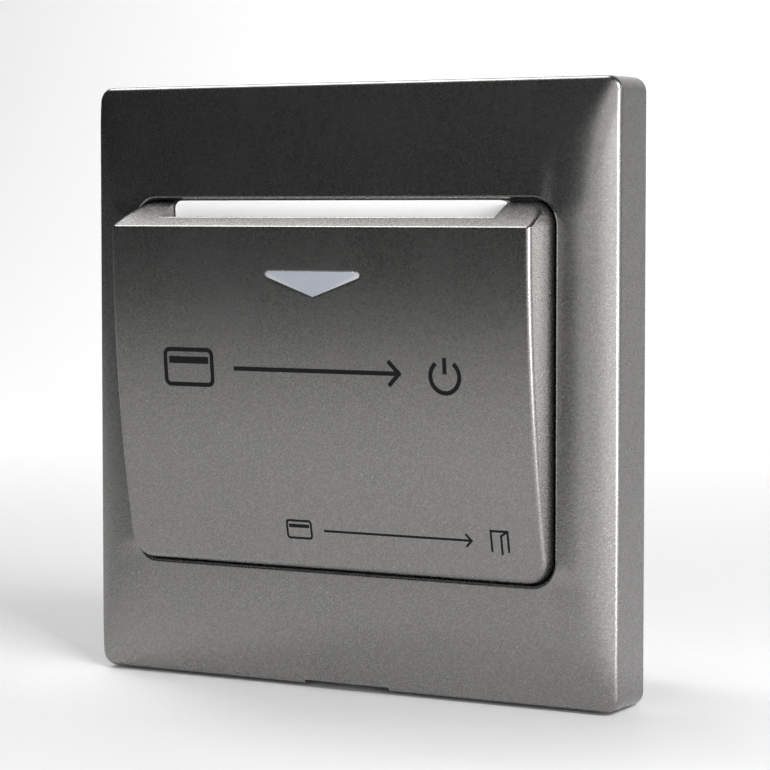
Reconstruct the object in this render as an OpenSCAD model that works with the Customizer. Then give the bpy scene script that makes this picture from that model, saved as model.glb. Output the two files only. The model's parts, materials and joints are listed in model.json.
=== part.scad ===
// Hotel key card switch: a square wall plate with a wedge-shaped card pocket.
// Millimetres. The wall plane is y = 0, the front faces -Y, +X is right and +Z is up, with the
// origin in the middle of the two wall fixing slots. A length named ..._d is a distance in front
// of the wall, so what lies behind the wall has a negative one.

/* [Plate] */
// Width and height of the square plate
plate_w = 86; // [82:0.5:100]
// Depth of the plate's side wall
plate_edge = 8; // [7:0.25:12]
// Rise of the pillowed front from the plate's edge to the opening
plate_crown = 2.7; // [1.5:0.1:3.5]
// Slope of the pillow where it meets the opening, in degrees
lip_slope = 3; // [1:0.5:6]
// Corner radius of the plate
plate_corner_r = 2.5; // [2.2:0.1:6]
// Wall thickness of the plate
plate_wall = 2; // [1.5:0.1:2.2]
// Width of the opening for the card cover
opening_w = 69.2; // [68:0.2:73]
// Height of the opening for the card cover
opening_h = 53; // [52:0.2:60]
// Corner radius of the opening
opening_corner_r = 3.6; // [3:0.1:6]
// Wall of the skirt that lines the opening
skirt_wall = 1.5; // [1:0.1:2]
// Width of the pry slot in the lower side
pry_w = 14; // [8:0.5:20]
// Height of the pry slot
pry_h = 0.6; // [0.4:0.1:1]

/* [Card cover] */
// Gap between the cover and the opening
cover_gap = 0.35; // [0.3:0.05:0.7]
// How far the cover's brow stands in front of the opening
cover_rise = 6.6; // [6:0.1:9]
// Height lost along the brow's slope
brow_drop = 3.5; // [2:0.1:5]
// Radius of the curved front, upright
cover_front_r = 220; // [180:5:400]
// Wall thickness of the cover
cover_wall = 2.1; // [1.6:0.1:2.4]
// Width of the card slot
slot_w = 55; // [54.6:0.1:57]
// Front-to-back gap of the card slot
slot_gap = 4.2; // [3:0.1:4.5]
// Thickness of the ribs that guide the card
rib_t = 1.5; // [1:0.1:1.8]
// Gap that the ribs leave a card at the foot of the pocket
card_channel = 1.4; // [1:0.1:2]
// Width of the arrow lens
arrow_w = 15.8; // [10:0.2:20]
// Height of the arrow lens
arrow_h = 3.6; // [2.5:0.1:6]
// Corner radius of the arrow lens
arrow_r = 0.5; // [0.3:0.1:0.7]
// Height of the arrow's middle above the plate's middle
arrow_z = 14.7; // [10:0.1:15]

/* [Pocket back] */
// Tilt of the pocket's rear wall, in degrees
panel_tilt = 4; // [2:0.25:5]
// Thickness of the pocket's rear wall
panel_t = 2; // [1.5:0.1:2.5]
// Corner radius of the tongue that shows in the slot
tongue_r = 1.2; // [0.5:0.1:2]
// Radius of the light guide
guide_r = 2.4; // [1.5:0.1:2.6]

/* [Card feeler] */
// Height of the feeler's pivot
pivot_z = -4; // [-6:0.25:-2]
// Radius of the pivot pin
pin_r = 1; // [0.8:0.05:1.2]
// Width of the feeler
lever_w = 9.6; // [6:0.2:12]
// How far the nose stands into the pocket
nose_out = 2.5; // [1.5:0.1:3]
// Distance from the pivot down to the nose
nose_drop = 11; // [10.5:0.25:11.5]
// Distance from the pivot down to the pad that presses the switch
pad_drop = 8; // [7:0.25:9]
// Mean radius of the return spring
spring_r = 1.6; // [1.2:0.05:1.8]
// Wire radius of the return spring
spring_wire_r = 0.22; // [0.15:0.01:0.25]
// Turns of the return spring
spring_turns = 6; // [4:1:8]
// Length of the return spring at rest
spring_len = 8.5; // [7:0.25:9]

/* [Base and housing] */
// Thickness of the base
base_t = 4; // [3.5:0.1:4.5]
// Thickness of the base's web between its ribs
web_t = 2.4; // [2:0.1:2.6]
// Width of the base's ribs and rims
base_rib = 2.5; // [2:0.1:3.5]
// Distance between the wall fixing screws
fixing_pitch = 60.3; // [59:0.1:62]
// Half width of a fixing slot
fixing_r = 2.1; // [1.8:0.1:2.3]
// Length of a fixing slot, end to end
fixing_len = 8.2; // [6:0.2:9]
// Width of the housing
housing_w = 47; // [42.5:0.5:50]
// Height of the housing
housing_h = 39.2; // [36:0.2:43]
// Wall thickness of the housing
housing_wall = 1.6; // [1.2:0.1:1.8]

/* [Electronics] */
// Thickness of the circuit board
board_t = 1.6; // [1:0.1:2]
// Height of the microswitch off the board
switch_h = 6.5; // [5.5:0.1:8]
// Width of the microswitch
switch_w = 12.8; // [11:0.1:14]
// Thickness of the microswitch
switch_t = 5.8; // [5:0.1:6]
// Radius of the microswitch's plunger
plunger_r = 1.2; // [0.9:0.05:1.5]
// Relay: width, height and length off the board
relay_size = [19, 15, 15]; // [10:0.5:20]
// Film capacitor: width, height and length off the board
film_size = [13, 6, 11.8]; // [4:0.2:14]
// Radius of the electrolytic capacitor
electrolytic_r = 4; // [3:0.25:4.5]
// Length of the electrolytic capacitor
electrolytic_len = 11.5; // [8:0.5:14]
// Radius of the varistor's disc
varistor_r = 4.2; // [3:0.1:4.5]
// Thickness of the varistor's disc
varistor_t = 3.6; // [2.5:0.1:4]

/* [Terminals] */
// Distance between the wire terminals
terminal_pitch = 10; // [9:0.25:10.5]
// Height of the terminal block
terminal_h = 11; // [10.5:0.1:11.5]
// Inside width of a terminal cage
cage_in_w = 4.2; // [3.6:0.1:4.6]
// Inside depth of a terminal cage
cage_in_d = 4.6; // [4:0.1:5]
// Wall of a terminal cage
cage_wall = 0.8; // [0.6:0.1:1]
// Shank radius of a terminal screw
terminal_screw_r = 1.45; // [1.2:0.05:1.6]

/* [Hidden] */
$fn = 64;
past = 1;            // cuts run this far past the face that they open
touch_gap = 0.06;    // gap between a moving face and what it will press
run_gap = 0.05;      // radial clearance of a turning or sliding fit
fit_gap = 0.25;      // clearance of pieces that drop into each other
clear_gap = 0.4;     // clearance of pieces that pass each other
slip_gap = 0.1;      // clearance of a pin or a cage in its hole
press_gap = 0.02;    // clearance of a pin that is pushed in to stay

// Plate
face_d = plate_edge + plate_crown;
base_w = plate_w - 2 * (plate_wall + clear_gap);
plate_inner_r = 1;
base_corner_r = 1.5;
bead_x = 22;
bead_w = 10;
bead_h = 0.5;
bead_from_d = 1.9;
bead_to_d = 2.9;
fixing_wall = 3;

// Card cover
cover_w = opening_w - 2 * cover_gap;
cover_h = opening_h - 2 * cover_gap;
cover_corner_r = opening_corner_r - cover_gap;
cover_top = cover_h / 2;
cover_d = face_d + cover_rise;
brow_z = cover_top - brow_drop;
brow_angle = atan(brow_drop / cover_rise);
front_center_d = cover_d - cover_front_r;
inner_w = cover_w - 2 * cover_wall;
inner_h = cover_h - 2 * cover_wall;
inner_corner_r = cover_corner_r - cover_wall;
slot_front_d = cover_d - cover_wall;
slot_back_d = slot_front_d - slot_gap;
channel_rib_x = 14;
channel_top_z = -6;
channel_lead = 6;
lens_gap = 0.05;
lens_flange_w = 1;
lens_flange_t = 1;
tab_h = 8;
tab_z = 12;
tab_out = 0.7;
tab_thin = 0.3;
fixing_head_h = 3.4;
fixing_head_w = 10;

// Pocket back
function panel_d(z) = slot_back_d - tan(panel_tilt) * (cover_top - z);
function panel_rear_d(z) = panel_d(z) - panel_t;
function brow_inner_z(d) = cover_top - cover_wall / cos(brow_angle)
    - max(0, d - face_d) * tan(brow_angle);
panel_w = inner_w - 2 * fit_gap;
panel_h = 2 * (min(inner_h / 2, brow_inner_z(panel_d(inner_h / 2))) - fit_gap);
panel_corner_r = 1;
tongue_gap = 0.15;
tongue_w = slot_w - 2 * tongue_gap;
tongue_top = opening_h / 2 - cover_gap / 2;
foot_w = 6;
foot_t = 1.5;
foot_x = panel_w / 2 - panel_corner_r - foot_w / 2;
barb_out = 0.8;
barb_from_d = 0.5;
barb_to_d = base_t - web_t - slip_gap;

// Card feeler
hub_wall = 1.3;
hub_gap = 0.5;
hub_r = pin_r + hub_wall;
pivot_d = panel_rear_d(pivot_z) - hub_gap - hub_r;
arm_front = 1.3;
arm_back = 0.5;
heel_drop = 2.4;
arm_end = nose_drop + heel_drop;
pad_r = 1;
pad_out = 0.9;
pad_back = arm_back + pad_out;
nose_r = 1.2;
nose_z = pivot_z - nose_drop;
nose_u = panel_d(nose_z) + nose_out - pivot_d - nose_r;
stop_top = 3;
ramp_start = 5;
lever_swing = 11;
cheek_t = 2;
cheek_r = pin_r + cheek_t;
cheek_in = lever_w / 2 + clear_gap;
cheek_out = cheek_in + cheek_t;
spring_arm_w = 5;
spring_arm_t = 2;
spring_d = pivot_d - hub_r - spring_r - spring_wire_r - fit_gap;
spring_seat = spring_r + spring_wire_r + clear_gap;
spring_end_gap = 0.03;
spring_foot_z = pivot_z + spring_arm_t / 2;
shelf_z = spring_foot_z + spring_len;
shelf_t = 2;
window_w = lever_w + 2 * clear_gap;
window_top = pivot_z - ramp_start + fit_gap;
window_bottom = pivot_z - arm_end - 3 * clear_gap;
lever_room_d = pivot_d - arm_end * sin(lever_swing) - pad_back - clear_gap;

// Circuit board and what the feeler presses
plunger_tip_d = pivot_d - pad_back - touch_gap;
plunger_out = 1.6;
plunger_len = 4.6;
plunger_room = 2;
switch_z = pivot_z - pad_drop;
switch_front_d = plunger_tip_d - plunger_out;
plunger_inset = 3.9;
switch_x = switch_w / 2 - plunger_inset;
switch_pin_pitch = 5.08;
board_front_d = switch_front_d - switch_h;
board_rear_d = board_front_d - board_t;
board_w = housing_w - 2 * (housing_wall + fit_gap);
board_h = housing_h - 2 * (housing_wall + fit_gap);
board_screw_inset = 2.3;
board_screw_x = board_w / 2 - board_screw_inset;
board_screw_z = board_h / 2 - board_screw_inset;
board_screw_r = 0.9;
board_screw_in = 6;
board_head_r = 2;
switch_pin_t = 0.5;
switch_pin_w = 0.9;
pin_hole_r = 0.65;
pin_out = 1.4;

// Housing
ear_t = 1.6;
ear_w = 8;
ear_z = 11;
ear_end = inner_w / 2 - clear_gap;
ear_screw_x = (housing_w / 2 + ear_end) / 2;
ear_screw_r = 1.05;
ear_boss_r = 3;
ear_head_r = 1.8;
screw_head_t = 1.2;
rear_wall = 1.8;
housing_rear_d = board_rear_d - relay_size[2] - clear_gap - rear_wall;
post_r = 2.2;
screw_slot_w = 0.5;
screw_slot_deep = 0.7;

// Terminal block
terminal_w = 2 * (board_screw_x - post_r - clear_gap);
terminal_bottom = -housing_h / 2;
terminal_top = terminal_bottom + terminal_h;
terminal_stand = 2.3;
terminal_front_d = board_rear_d - terminal_stand;
terminal_foot_w = 3;
cage_w = cage_in_w + 2 * cage_wall;
cage_deep = cage_in_d + 2 * cage_wall;
cage_len = 5;
cage_front = 3;
cage_roof = 1.9;
cage_d = terminal_front_d - cage_front - cage_deep / 2;
cage_top = terminal_top - cage_roof;
cage_z = cage_top - cage_len / 2;
cage_pin = 1;
terminal_head_r = 2.5;
terminal_head_t = 1.9;
terminal_head_d = housing_rear_d + fit_gap;

// Parts on the rear of the board
diode_step = 3.4;
diode_count = 4;
diode_r = 1.3;
diode_len = 4.6;
resistor_step = 2.8;
resistor_count = 2;
resistor_r = 1.1;
resistor_len = 5.4;
case_corner_r = 0.6;
sleeve_groove = 0.4;
sleeve_groove_from = 1.8;
lead_r = 0.3;
lead_out = 0.9;
lead_lift = 0.1;

// Where those parts stand. Columns of the relay, the diodes and the electrolytic capacitor share
// the board's width, and the relay and the film capacitor share the height above the terminals,
// with equal gaps.
diode_span = diode_len + 2 * lead_out;
column_gap = (board_w - relay_size[0] - diode_span - 2 * electrolytic_r) / 4;
row_gap = (board_h / 2 - terminal_top - relay_size[1] - film_size[1]) / 3;
relay_x = column_gap + relay_size[0] / 2 - board_w / 2;
relay_z = terminal_top + row_gap + relay_size[1] / 2;
diode_x = relay_x + relay_size[0] / 2 + column_gap + diode_span / 2;
electrolytic_x = board_w / 2 - column_gap - electrolytic_r;
electrolytic_z = relay_z + relay_size[1] / 2 - electrolytic_r;
film_x = -lead_r - clear_gap - film_size[0] / 2;
film_z = board_h / 2 - row_gap - film_size[1] / 2;
axial_rise = 2.6;
axial_z = terminal_top + axial_rise;

// Parts on the front of the board
chip_size = [6, 5, 1.7];
chip_inset = 7.65;
chip_at = [chip_inset - board_w / 2, 3];
chip_lift = 0.15;
chip_leg_pitch = 1.27;
chip_leg_w = 0.4;
chip_leg_out = 0.8;
led_r = 1.5;
led_flange_r = 1.9;
led_flange_t = 1;
led_len = 3.6;
led_lead_z = 1.27;
guide_drop = 1.5;
guide_z = arrow_z - guide_drop;
guide_flange_t = 1;
guide_flange_r = guide_r + guide_flange_t;
guide_boss_wall = 0.6;
guide_boss_len = 1.2;
guide_boss_r = guide_flange_r + guide_boss_wall;
guide_seat_d = panel_rear_d(guide_z) - guide_boss_len;
guide_rear_d = board_front_d + led_flange_t + led_len + led_r + clear_gap;

// Colours
graphite = [0.36, 0.36, 0.36];
gloss_white = [0.94, 0.94, 0.93];
milky = [0.78, 0.82, 0.88];
clear_tint = [0.85, 0.9, 0.95, 0.6];
black = [0.1, 0.1, 0.1];
steel = [0.7, 0.71, 0.72];
brass = [0.8, 0.65, 0.3];

// Outline in x and z, extruded between two distances in front of the wall
module slab(from_d, to_d) {
    translate([0, -from_d, 0]) rotate([90, 0, 0]) linear_extrude(to_d - from_d) children();
}

// Outline in d and z, extruded along X about the middle
module across(width) {
    rotate([90, 0, 90]) linear_extrude(width, center = true) mirror([1, 0]) children();
}

// Outline in x and d, extruded along Z about the middle
module upright(height) {
    linear_extrude(height, center = true) mirror([0, 1]) children();
}

// Round rod from front to back
module rod(r, from_d, to_d) {
    slab(from_d, to_d) circle(r);
}

// Box by its limits in x, d and z
module box(x, d, z) {
    translate([x[0], -d[1], z[0]]) cube([x[1] - x[0], d[1] - d[0], z[1] - z[0]]);
}

module at(place) {
    translate([place[0], 0, place[1]]) children();
}

module both_ways(x) {
    for (side = [-1, 1]) translate([side * x, 0, 0]) children();
}

module four_ways(x, z) {
    for (side = [-1, 1], end = [-1, 1]) translate([side * x, 0, end * z]) children();
}

module rounded_rect(w, h, r) {
    square([w, h - 2 * r], center = true);
    square([w - 2 * r, h], center = true);
    for (side = [-1, 1], end = [-1, 1])
        translate([side * (w / 2 - r), end * (h / 2 - r)]) circle(r);
}

module long_hole(len, r) {
    square([len - 2 * r, 2 * r], center = true);
    for (side = [-1, 1]) translate([side * (len / 2 - r), 0]) circle(r);
}

// Slotted screw, head towards the front, with its head seated at seat_d
module screw(head_r, head_t, shank_r, seat_d, tip_d) {
    difference() {
        union() {
            rod(head_r, seat_d, seat_d + head_t);
            rod(shank_r, tip_d, seat_d + head_t / 2);
        }
        box([-head_r - past, head_r + past],
            [seat_d + head_t - screw_slot_deep, seat_d + head_t + past],
            [-screw_slot_w / 2, screw_slot_w / 2]);
    }
}

// Slope of the pillow at the plate's edge, for a band of this width round the opening
function edge_slope(band) = 2 * atan(plate_crown / band) - lip_slope;
function pillow_r(band) = band / (sin(edge_slope(band)) - sin(lip_slope));

// Section through the pillow, across the opening and up to the front, drawn in by inset
module pillow_section(opening, inset) {
    r = pillow_r((plate_w - opening) / 2);
    center = opening / 2 - r * sin(lip_slope);
    translate([-center, -past]) square([2 * center, face_d - inset + past]);
    for (side = [-1, 1])
        translate([side * center, face_d - r * cos(lip_slope)]) circle(r - inset, $fn = 180);
}

// Solid under the pillow, over a rounded square
module pillow(w, corner_r, inset) {
    intersection() {
        slab(0, face_d) rounded_rect(w, w, corner_r);
        upright(plate_w + past) pillow_section(opening_w, inset);
        across(plate_w + past) mirror([1, -1]) pillow_section(opening_h, inset);
    }
}

module faceplate_frame() {
    inside_w = plate_w - 2 * plate_wall;
    color(graphite) difference() {
        union() {
            difference() {
                pillow(plate_w, plate_corner_r, 0);
                translate([0, past, 0]) pillow(inside_w, plate_inner_r,
                    plate_wall - past);
            }
            slab(base_t + clear_gap, face_d - plate_wall / 2)
                rounded_rect(opening_w + 2 * skirt_wall, opening_h + 2 * skirt_wall,
                    opening_corner_r + skirt_wall);
            // Snap beads that hold the frame on the base
            four_ways(bead_x, inside_w / 2)
                box([-bead_w / 2, bead_w / 2], [bead_from_d, bead_to_d],
                    [-clear_gap - bead_h, clear_gap + bead_h]);
        }
        slab(-past, face_d + past) rounded_rect(opening_w, opening_h, opening_corner_r);
        box([-pry_w / 2, pry_w / 2], [-past, plate_edge + past],
            [-plate_w / 2 - past, -plate_w / 2 + pry_h]);
    }
}

// Side outline of the card cover in d and z, drawn in by inset
module wedge_section(inset) {
    top = cover_top - inset;
    brow_shift = inset / cos(brow_angle);
    reach = cover_rise + past;
    intersection() {
        translate([front_center_d, brow_z]) circle(cover_front_r - inset, $fn = 360);
        difference() {
            translate([0, -cover_top - past]) square([cover_d + past, 2 * cover_top + 2 * past]);
            polygon([[-past, top], [face_d, top],
                [face_d, cover_top - brow_shift],
                [face_d + reach, cover_top - brow_shift - reach * tan(brow_angle)],
                [face_d + reach, cover_top + 2 * past], [-past, cover_top + 2 * past]]);
        }
    }
}

// Rounded triangle that points down, grown by more
module arrow(more) {
    r = arrow_r + more;
    half_w = arrow_w / 2 - arrow_r;
    half_h = arrow_h / 2 - arrow_r;
    corners = [[-half_w, half_h], [half_w, half_h], [0, -half_h]];
    slope = atan(2 * half_h / half_w);
    lean = [sin(slope) * r, -cos(slope) * r];
    polygon([corners[0] + [0, r], corners[1] + [0, r], corners[1] + lean, corners[2] + lean,
        corners[2] + [-lean[0], lean[1]], corners[0] + [-lean[0], lean[1]]]);
    for (corner = corners) translate(corner) circle(r);
}

// Ribs that press a card back against the feeler at the foot of the pocket
module channel_rib() {
    foot = -inner_h / 2 - cover_wall / 2;
    across(rib_t) polygon([
        [cover_d, foot], [panel_d(foot) + card_channel, foot],
        [panel_d(channel_top_z) + card_channel, channel_top_z],
        [cover_d, channel_top_z + channel_lead]]);
}

module card_cover() {
    color(graphite) difference() {
        union() {
            difference() {
                intersection() {
                    slab(base_t, cover_d + past) rounded_rect(cover_w, cover_h, cover_corner_r);
                    across(cover_w + past) wedge_section(0);
                }
                intersection() {
                    slab(base_t - past, cover_d + past)
                        rounded_rect(inner_w, inner_h, inner_corner_r);
                    across(cover_w + past) wedge_section(cover_wall);
                }
            }
            // Side guides of the pocket and the ribs at its foot
            intersection() {
                slab(base_t, cover_d) square([inner_w + cover_wall, inner_h + cover_wall],
                    center = true);
                across(cover_w) wedge_section(cover_wall / 2);
                union() {
                    both_ways(slot_w / 2 + rib_t / 2) across(rib_t) polygon([
                        [panel_d(-cover_top) + fit_gap, -cover_top],
                        [panel_d(cover_top) + fit_gap, cover_top],
                        [cover_d, cover_top], [cover_d, -cover_top]]);
                    both_ways(channel_rib_x) channel_rib();
                }
            }
        }
        // Card slot through the brow
        box([-slot_w / 2, slot_w / 2], [base_t - past, slot_front_d],
            [brow_z - cover_wall, cover_top + past]);
        at([0, arrow_z]) slab(base_t, cover_d + past) arrow(0);
        // Seat of the lens's flange
        intersection() {
            at([0, arrow_z]) slab(base_t, cover_d) arrow(lens_flange_w + lens_gap);
            across(cover_w) wedge_section(cover_wall - lens_flange_t);
        }
        // Catches for the pocket back's tabs
        for (z = [-tab_z, tab_z]) both_ways(inner_w / 2)
            box([-tab_out - fit_gap, tab_out + fit_gap],
                [panel_rear_d(z) + tab_thin - fit_gap, panel_d(z) - tab_thin + fit_gap],
                [z - tab_h / 2 - fit_gap, z + tab_h / 2 + fit_gap]);
        // Room for the heads of the wall fixing screws
        box([-cover_w / 2 - past, cover_w / 2 + past], [base_t - past, base_t + fixing_head_h],
            [-fixing_head_w / 2, fixing_head_w / 2]);
    }
}

// Lens as thick as the cover's wall, with a flange that rests in the cover from behind
module arrow_lens() {
    color(milky) intersection() {
        across(cover_w) difference() {
            wedge_section(0);
            wedge_section(cover_wall);
        }
        union() {
            at([0, arrow_z]) slab(base_t, cover_d + past) arrow(-lens_gap);
            intersection() {
                at([0, arrow_z]) slab(base_t, cover_d) arrow(lens_flange_w);
                across(cover_w) wedge_section(cover_wall - lens_flange_t + lens_gap);
            }
        }
    }
}

module panel_outline() {
    rounded_rect(panel_w, panel_h, panel_corner_r);
    translate([0, tongue_top / 2]) rounded_rect(tongue_w, tongue_top, tongue_r);
}

// Side outline of the bracket's cheek, which carries the feeler's pin and the spring's shelf
module cheek_section() {
    foot = pivot_z - cheek_r;
    top = shelf_z + shelf_t;
    translate([pivot_d, pivot_z]) circle(cheek_r);
    polygon([[pivot_d, foot], [panel_rear_d(foot) + panel_t / 2, foot],
        [panel_rear_d(top) + panel_t / 2, top], [spring_d - spring_seat, top],
        [spring_d - spring_seat, shelf_z - shelf_t], [pivot_d - cheek_r, pivot_z]]);
}

module pin_bore(r, length) {
    translate([0, -pivot_d, pivot_z]) rotate([0, 90, 0]) cylinder(r = r, h = length, center = true);
}

module pocket_backplate() {
    color(gloss_white) difference() {
        union() {
            intersection() {
                across(cover_w) polygon([
                    [panel_d(-tongue_top), -tongue_top], [panel_d(tongue_top), tongue_top],
                    [panel_rear_d(tongue_top), tongue_top],
                    [panel_rear_d(-tongue_top), -tongue_top]]);
                slab(0, cover_d) panel_outline();
            }
            // Feet with barbs that snap through the base
            for (end = [-1, 1]) both_ways(foot_x) {
                outer = end * panel_h / 2;
                inner = outer - end * foot_t;
                barb = outer + end * barb_out;
                box([-foot_w / 2, foot_w / 2], [barb_from_d, panel_rear_d(outer) + panel_t / 2],
                    [min(outer, inner), max(outer, inner)]);
                box([-foot_w / 2, foot_w / 2], [barb_from_d, barb_to_d],
                    [min(barb, inner), max(barb, inner)]);
            }
            // Tabs that hold the cover
            for (z = [-tab_z, tab_z])
                box([-inner_w / 2 - tab_out, inner_w / 2 + tab_out],
                    [panel_rear_d(z) + tab_thin, panel_d(z) - tab_thin],
                    [z - tab_h / 2, z + tab_h / 2]);
            // Bracket for the feeler and its spring
            both_ways(cheek_in + cheek_t / 2) across(cheek_t) cheek_section();
            box([-cheek_in - past, cheek_in + past],
                [spring_d - spring_seat, panel_rear_d(shelf_z) + panel_t / 2],
                [shelf_z, shelf_z + shelf_t]);
            at([0, guide_z]) rod(guide_boss_r, guide_seat_d,
                panel_rear_d(guide_z) + panel_t / 2);
        }
        box([-window_w / 2, window_w / 2], [base_t - past, cover_d], [window_bottom, window_top]);
        at([0, guide_z]) rod(guide_r + run_gap, guide_seat_d - past, cover_d);
        pin_bore(pin_r + press_gap, 2 * cheek_out + past);
    }
}

module light_guide() {
    color(clear_tint) intersection() {
        at([0, guide_z]) union() {
            rod(guide_r, guide_rear_d, cover_d);
            rod(guide_flange_r, guide_seat_d - guide_flange_t, guide_seat_d);
        }
        across(cover_w) polygon([[board_rear_d, -cover_top], [panel_d(-cover_top), -cover_top],
            [panel_d(cover_top), cover_top], [board_rear_d, cover_top]]);
    }
}

// Point where a line from a touches the circle round c, on the given side of the line
function touching(a, c, r, side) =
    let (run = c - a, turn = atan2(run[1], run[0]) + side * asin(r / norm(run)) + side * 90)
    c + r * [cos(turn), sin(turn)];

// Reach from the pivot to just behind the pocket's rear wall, at a drop below the pivot
function stop_reach(drop) = panel_rear_d(pivot_z - drop) - pivot_d - touch_gap;

// Side outline of the feeler about its pivot
module lever_section() {
    tip = [nose_u, -nose_drop];
    stop = [stop_reach(stop_top), -stop_top];
    ramp = [stop_reach(ramp_start), -ramp_start];
    heel = [0, -arm_end];
    circle(hub_r);
    translate([-arm_back, -arm_end]) square([arm_back + arm_front, arm_end]);
    polygon([[0, -stop_top], stop, ramp, touching(ramp, tip, nose_r, 1), tip,
        touching(heel, tip, nose_r, -1), heel]);
    translate(tip) circle(nose_r);
    translate([pad_r - pad_back, -pad_drop]) circle(pad_r);
}

module card_lever() {
    color(gloss_white) difference() {
        union() {
            translate([0, -pivot_d, pivot_z]) across(lever_w) lever_section();
            // Arm that carries the return spring
            box([-spring_arm_w / 2, spring_arm_w / 2], [spring_d - spring_seat, pivot_d],
                [spring_foot_z - spring_arm_t, spring_foot_z]);
        }
        pin_bore(pin_r + run_gap, lever_w + past);
    }
}

module lever_pin() {
    head_t = 0.6;
    head_r = pin_r + head_t;
    color(steel) union() {
        pin_bore(pin_r, 2 * cheek_out);
        translate([cheek_out, -pivot_d, pivot_z]) rotate([0, 90, 0]) cylinder(r = head_r, h = head_t);
    }
}

// Return spring: one unbroken tube along a helix, with its ends cut square
spring_rings = 8;
spring_sides = 6;
spring_steps = spring_turns * spring_rings;
spring_rise = spring_len - 2 * (spring_wire_r + spring_end_gap);
function spring_turn(k) = 360 * k / spring_rings;
function spring_center(k) = [spring_r * cos(spring_turn(k)), spring_r * sin(spring_turn(k)),
    spring_rise * k / spring_steps];
function spring_point(k, i) =
    let (a = spring_turn(k), out = [cos(a), sin(a), 0],
        climb = atan(spring_rise / spring_turns / (2 * PI * spring_r)),
        up = [sin(climb) * sin(a), -sin(climb) * cos(a), cos(climb)], b = 360 * i / spring_sides)
    spring_center(k) + spring_wire_r * (cos(b) * out + sin(b) * up);
echo(spring_least_gap = min([for (k = [0:spring_steps - spring_rings], j = [-1:1])
    k + spring_rings + j > spring_steps ? spring_len
    : norm(spring_center(k + spring_rings + j) - spring_center(k)) - 2 * spring_wire_r]));

module lever_spring() {
    last = spring_steps * spring_sides;
    points = [for (k = [0:spring_steps], i = [0:spring_sides - 1]) spring_point(k, i)];
    sides = [for (k = [0:spring_steps - 1], i = [0:spring_sides - 1])
        let (a = k * spring_sides, n = (i + 1) % spring_sides)
        each [[a + i, a + spring_sides + i, a + n],
            [a + n, a + spring_sides + i, a + spring_sides + n]]];
    ends = [for (i = [1:spring_sides - 2]) each [[0, i, i + 1], [last, last + i + 1, last + i]]];
    color(steel) translate([0, -spring_d, spring_foot_z + spring_wire_r + spring_end_gap])
        polyhedron(points, concat(sides, ends));
}

// Room that the feeler's foot swings back into
module lever_room() {
    box([-window_w / 2, window_w / 2], [lever_room_d, base_t + past], [window_bottom, pivot_z]);
}

// Outline of everything on the base that reaches back to the wall
module base_ribs() {
    difference() {
        rounded_rect(base_w, base_w, base_corner_r);
        square(base_w - 2 * base_rib, center = true);
    }
    square([housing_w + 2 * (fit_gap + base_rib), housing_h + 2 * (fit_gap + base_rib)],
        center = true);
    for (turn = [0, 90]) rotate(turn) square([base_w - base_rib, base_rib], center = true);
    for (side = [-1, 1]) translate([side * fixing_pitch / 2, 0])
        long_hole(fixing_len + 2 * fixing_wall, fixing_r + fixing_wall);
    for (side = [-1, 1], end = [-1, 1]) translate([side * ear_screw_x, end * ear_z])
        circle(ear_boss_r);
}

module mounting_base() {
    hole_out = panel_h / 2 + fit_gap;
    hole_in = panel_h / 2 - foot_t - barb_out - fit_gap;
    color(gloss_white) difference() {
        union() {
            slab(0, base_t) base_ribs();
            slab(base_t - web_t, base_t) rounded_rect(base_w, base_w, base_corner_r);
        }
        slab(-past, base_t + past)
            square([housing_w + 2 * fit_gap, housing_h + 2 * fit_gap], center = true);
        both_ways(fixing_pitch / 2) slab(-past, base_t + past) long_hole(fixing_len, fixing_r);
        // Holes for the pocket back's feet
        for (end = [-1, 1]) both_ways(foot_x)
            box([-foot_w / 2 - fit_gap, foot_w / 2 + fit_gap], [-past, base_t + past],
                [min(end * hole_in, end * hole_out), max(end * hole_in, end * hole_out)]);
        // Seats of the housing's ears
        for (end = [-1, 1]) at([0, end * ear_z]) box([-ear_end - fit_gap, ear_end + fit_gap],
            [base_t - ear_t, base_t + past], [-ear_w / 2 - fit_gap, ear_w / 2 + fit_gap]);
        four_ways(ear_screw_x, ear_z) rod(ear_screw_r + run_gap, -past, base_t + past);
        lever_room();
        // Grooves for the frame's snap beads
        four_ways(bead_x, base_w / 2)
            box([-bead_w / 2 - fit_gap, bead_w / 2 + fit_gap],
                [bead_from_d - fit_gap, bead_to_d + fit_gap], [-bead_h - fit_gap, bead_h + fit_gap]);
    }
}

module rear_housing() {
    ear_root = housing_w / 2 - housing_wall;
    color(black) difference() {
        union() {
            difference() {
                slab(housing_rear_d, base_t) square([housing_w, housing_h], center = true);
                slab(housing_rear_d + rear_wall, base_t + past)
                    square([housing_w - 2 * housing_wall, housing_h - 2 * housing_wall],
                        center = true);
            }
            // Ears that seat on the base
            four_ways((ear_root + ear_end) / 2, ear_z)
                box([(ear_root - ear_end) / 2, (ear_end - ear_root) / 2], [base_t - ear_t, base_t],
                    [-ear_w / 2, ear_w / 2]);
            // Posts under the board
            four_ways(board_screw_x, board_screw_z)
                rod(post_r, housing_rear_d + rear_wall / 2, board_rear_d);
        }
        four_ways(ear_screw_x, ear_z) rod(ear_screw_r + fit_gap, -past, base_t + past);
        lever_room();
        four_ways(board_screw_x, board_screw_z)
            rod(board_screw_r + run_gap, board_rear_d - board_screw_in - past, board_rear_d + past);
        // Room for the terminal block in the lower rear edge
        box([-terminal_w / 2 - fit_gap, terminal_w / 2 + fit_gap],
            [housing_rear_d - past, terminal_front_d + fit_gap],
            [terminal_bottom - past, terminal_top + fit_gap]);
    }
}

module housing_screws() {
    color(steel) four_ways(ear_screw_x, ear_z)
        screw(ear_head_r, screw_head_t, ear_screw_r, base_t, clear_gap);
}

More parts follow.
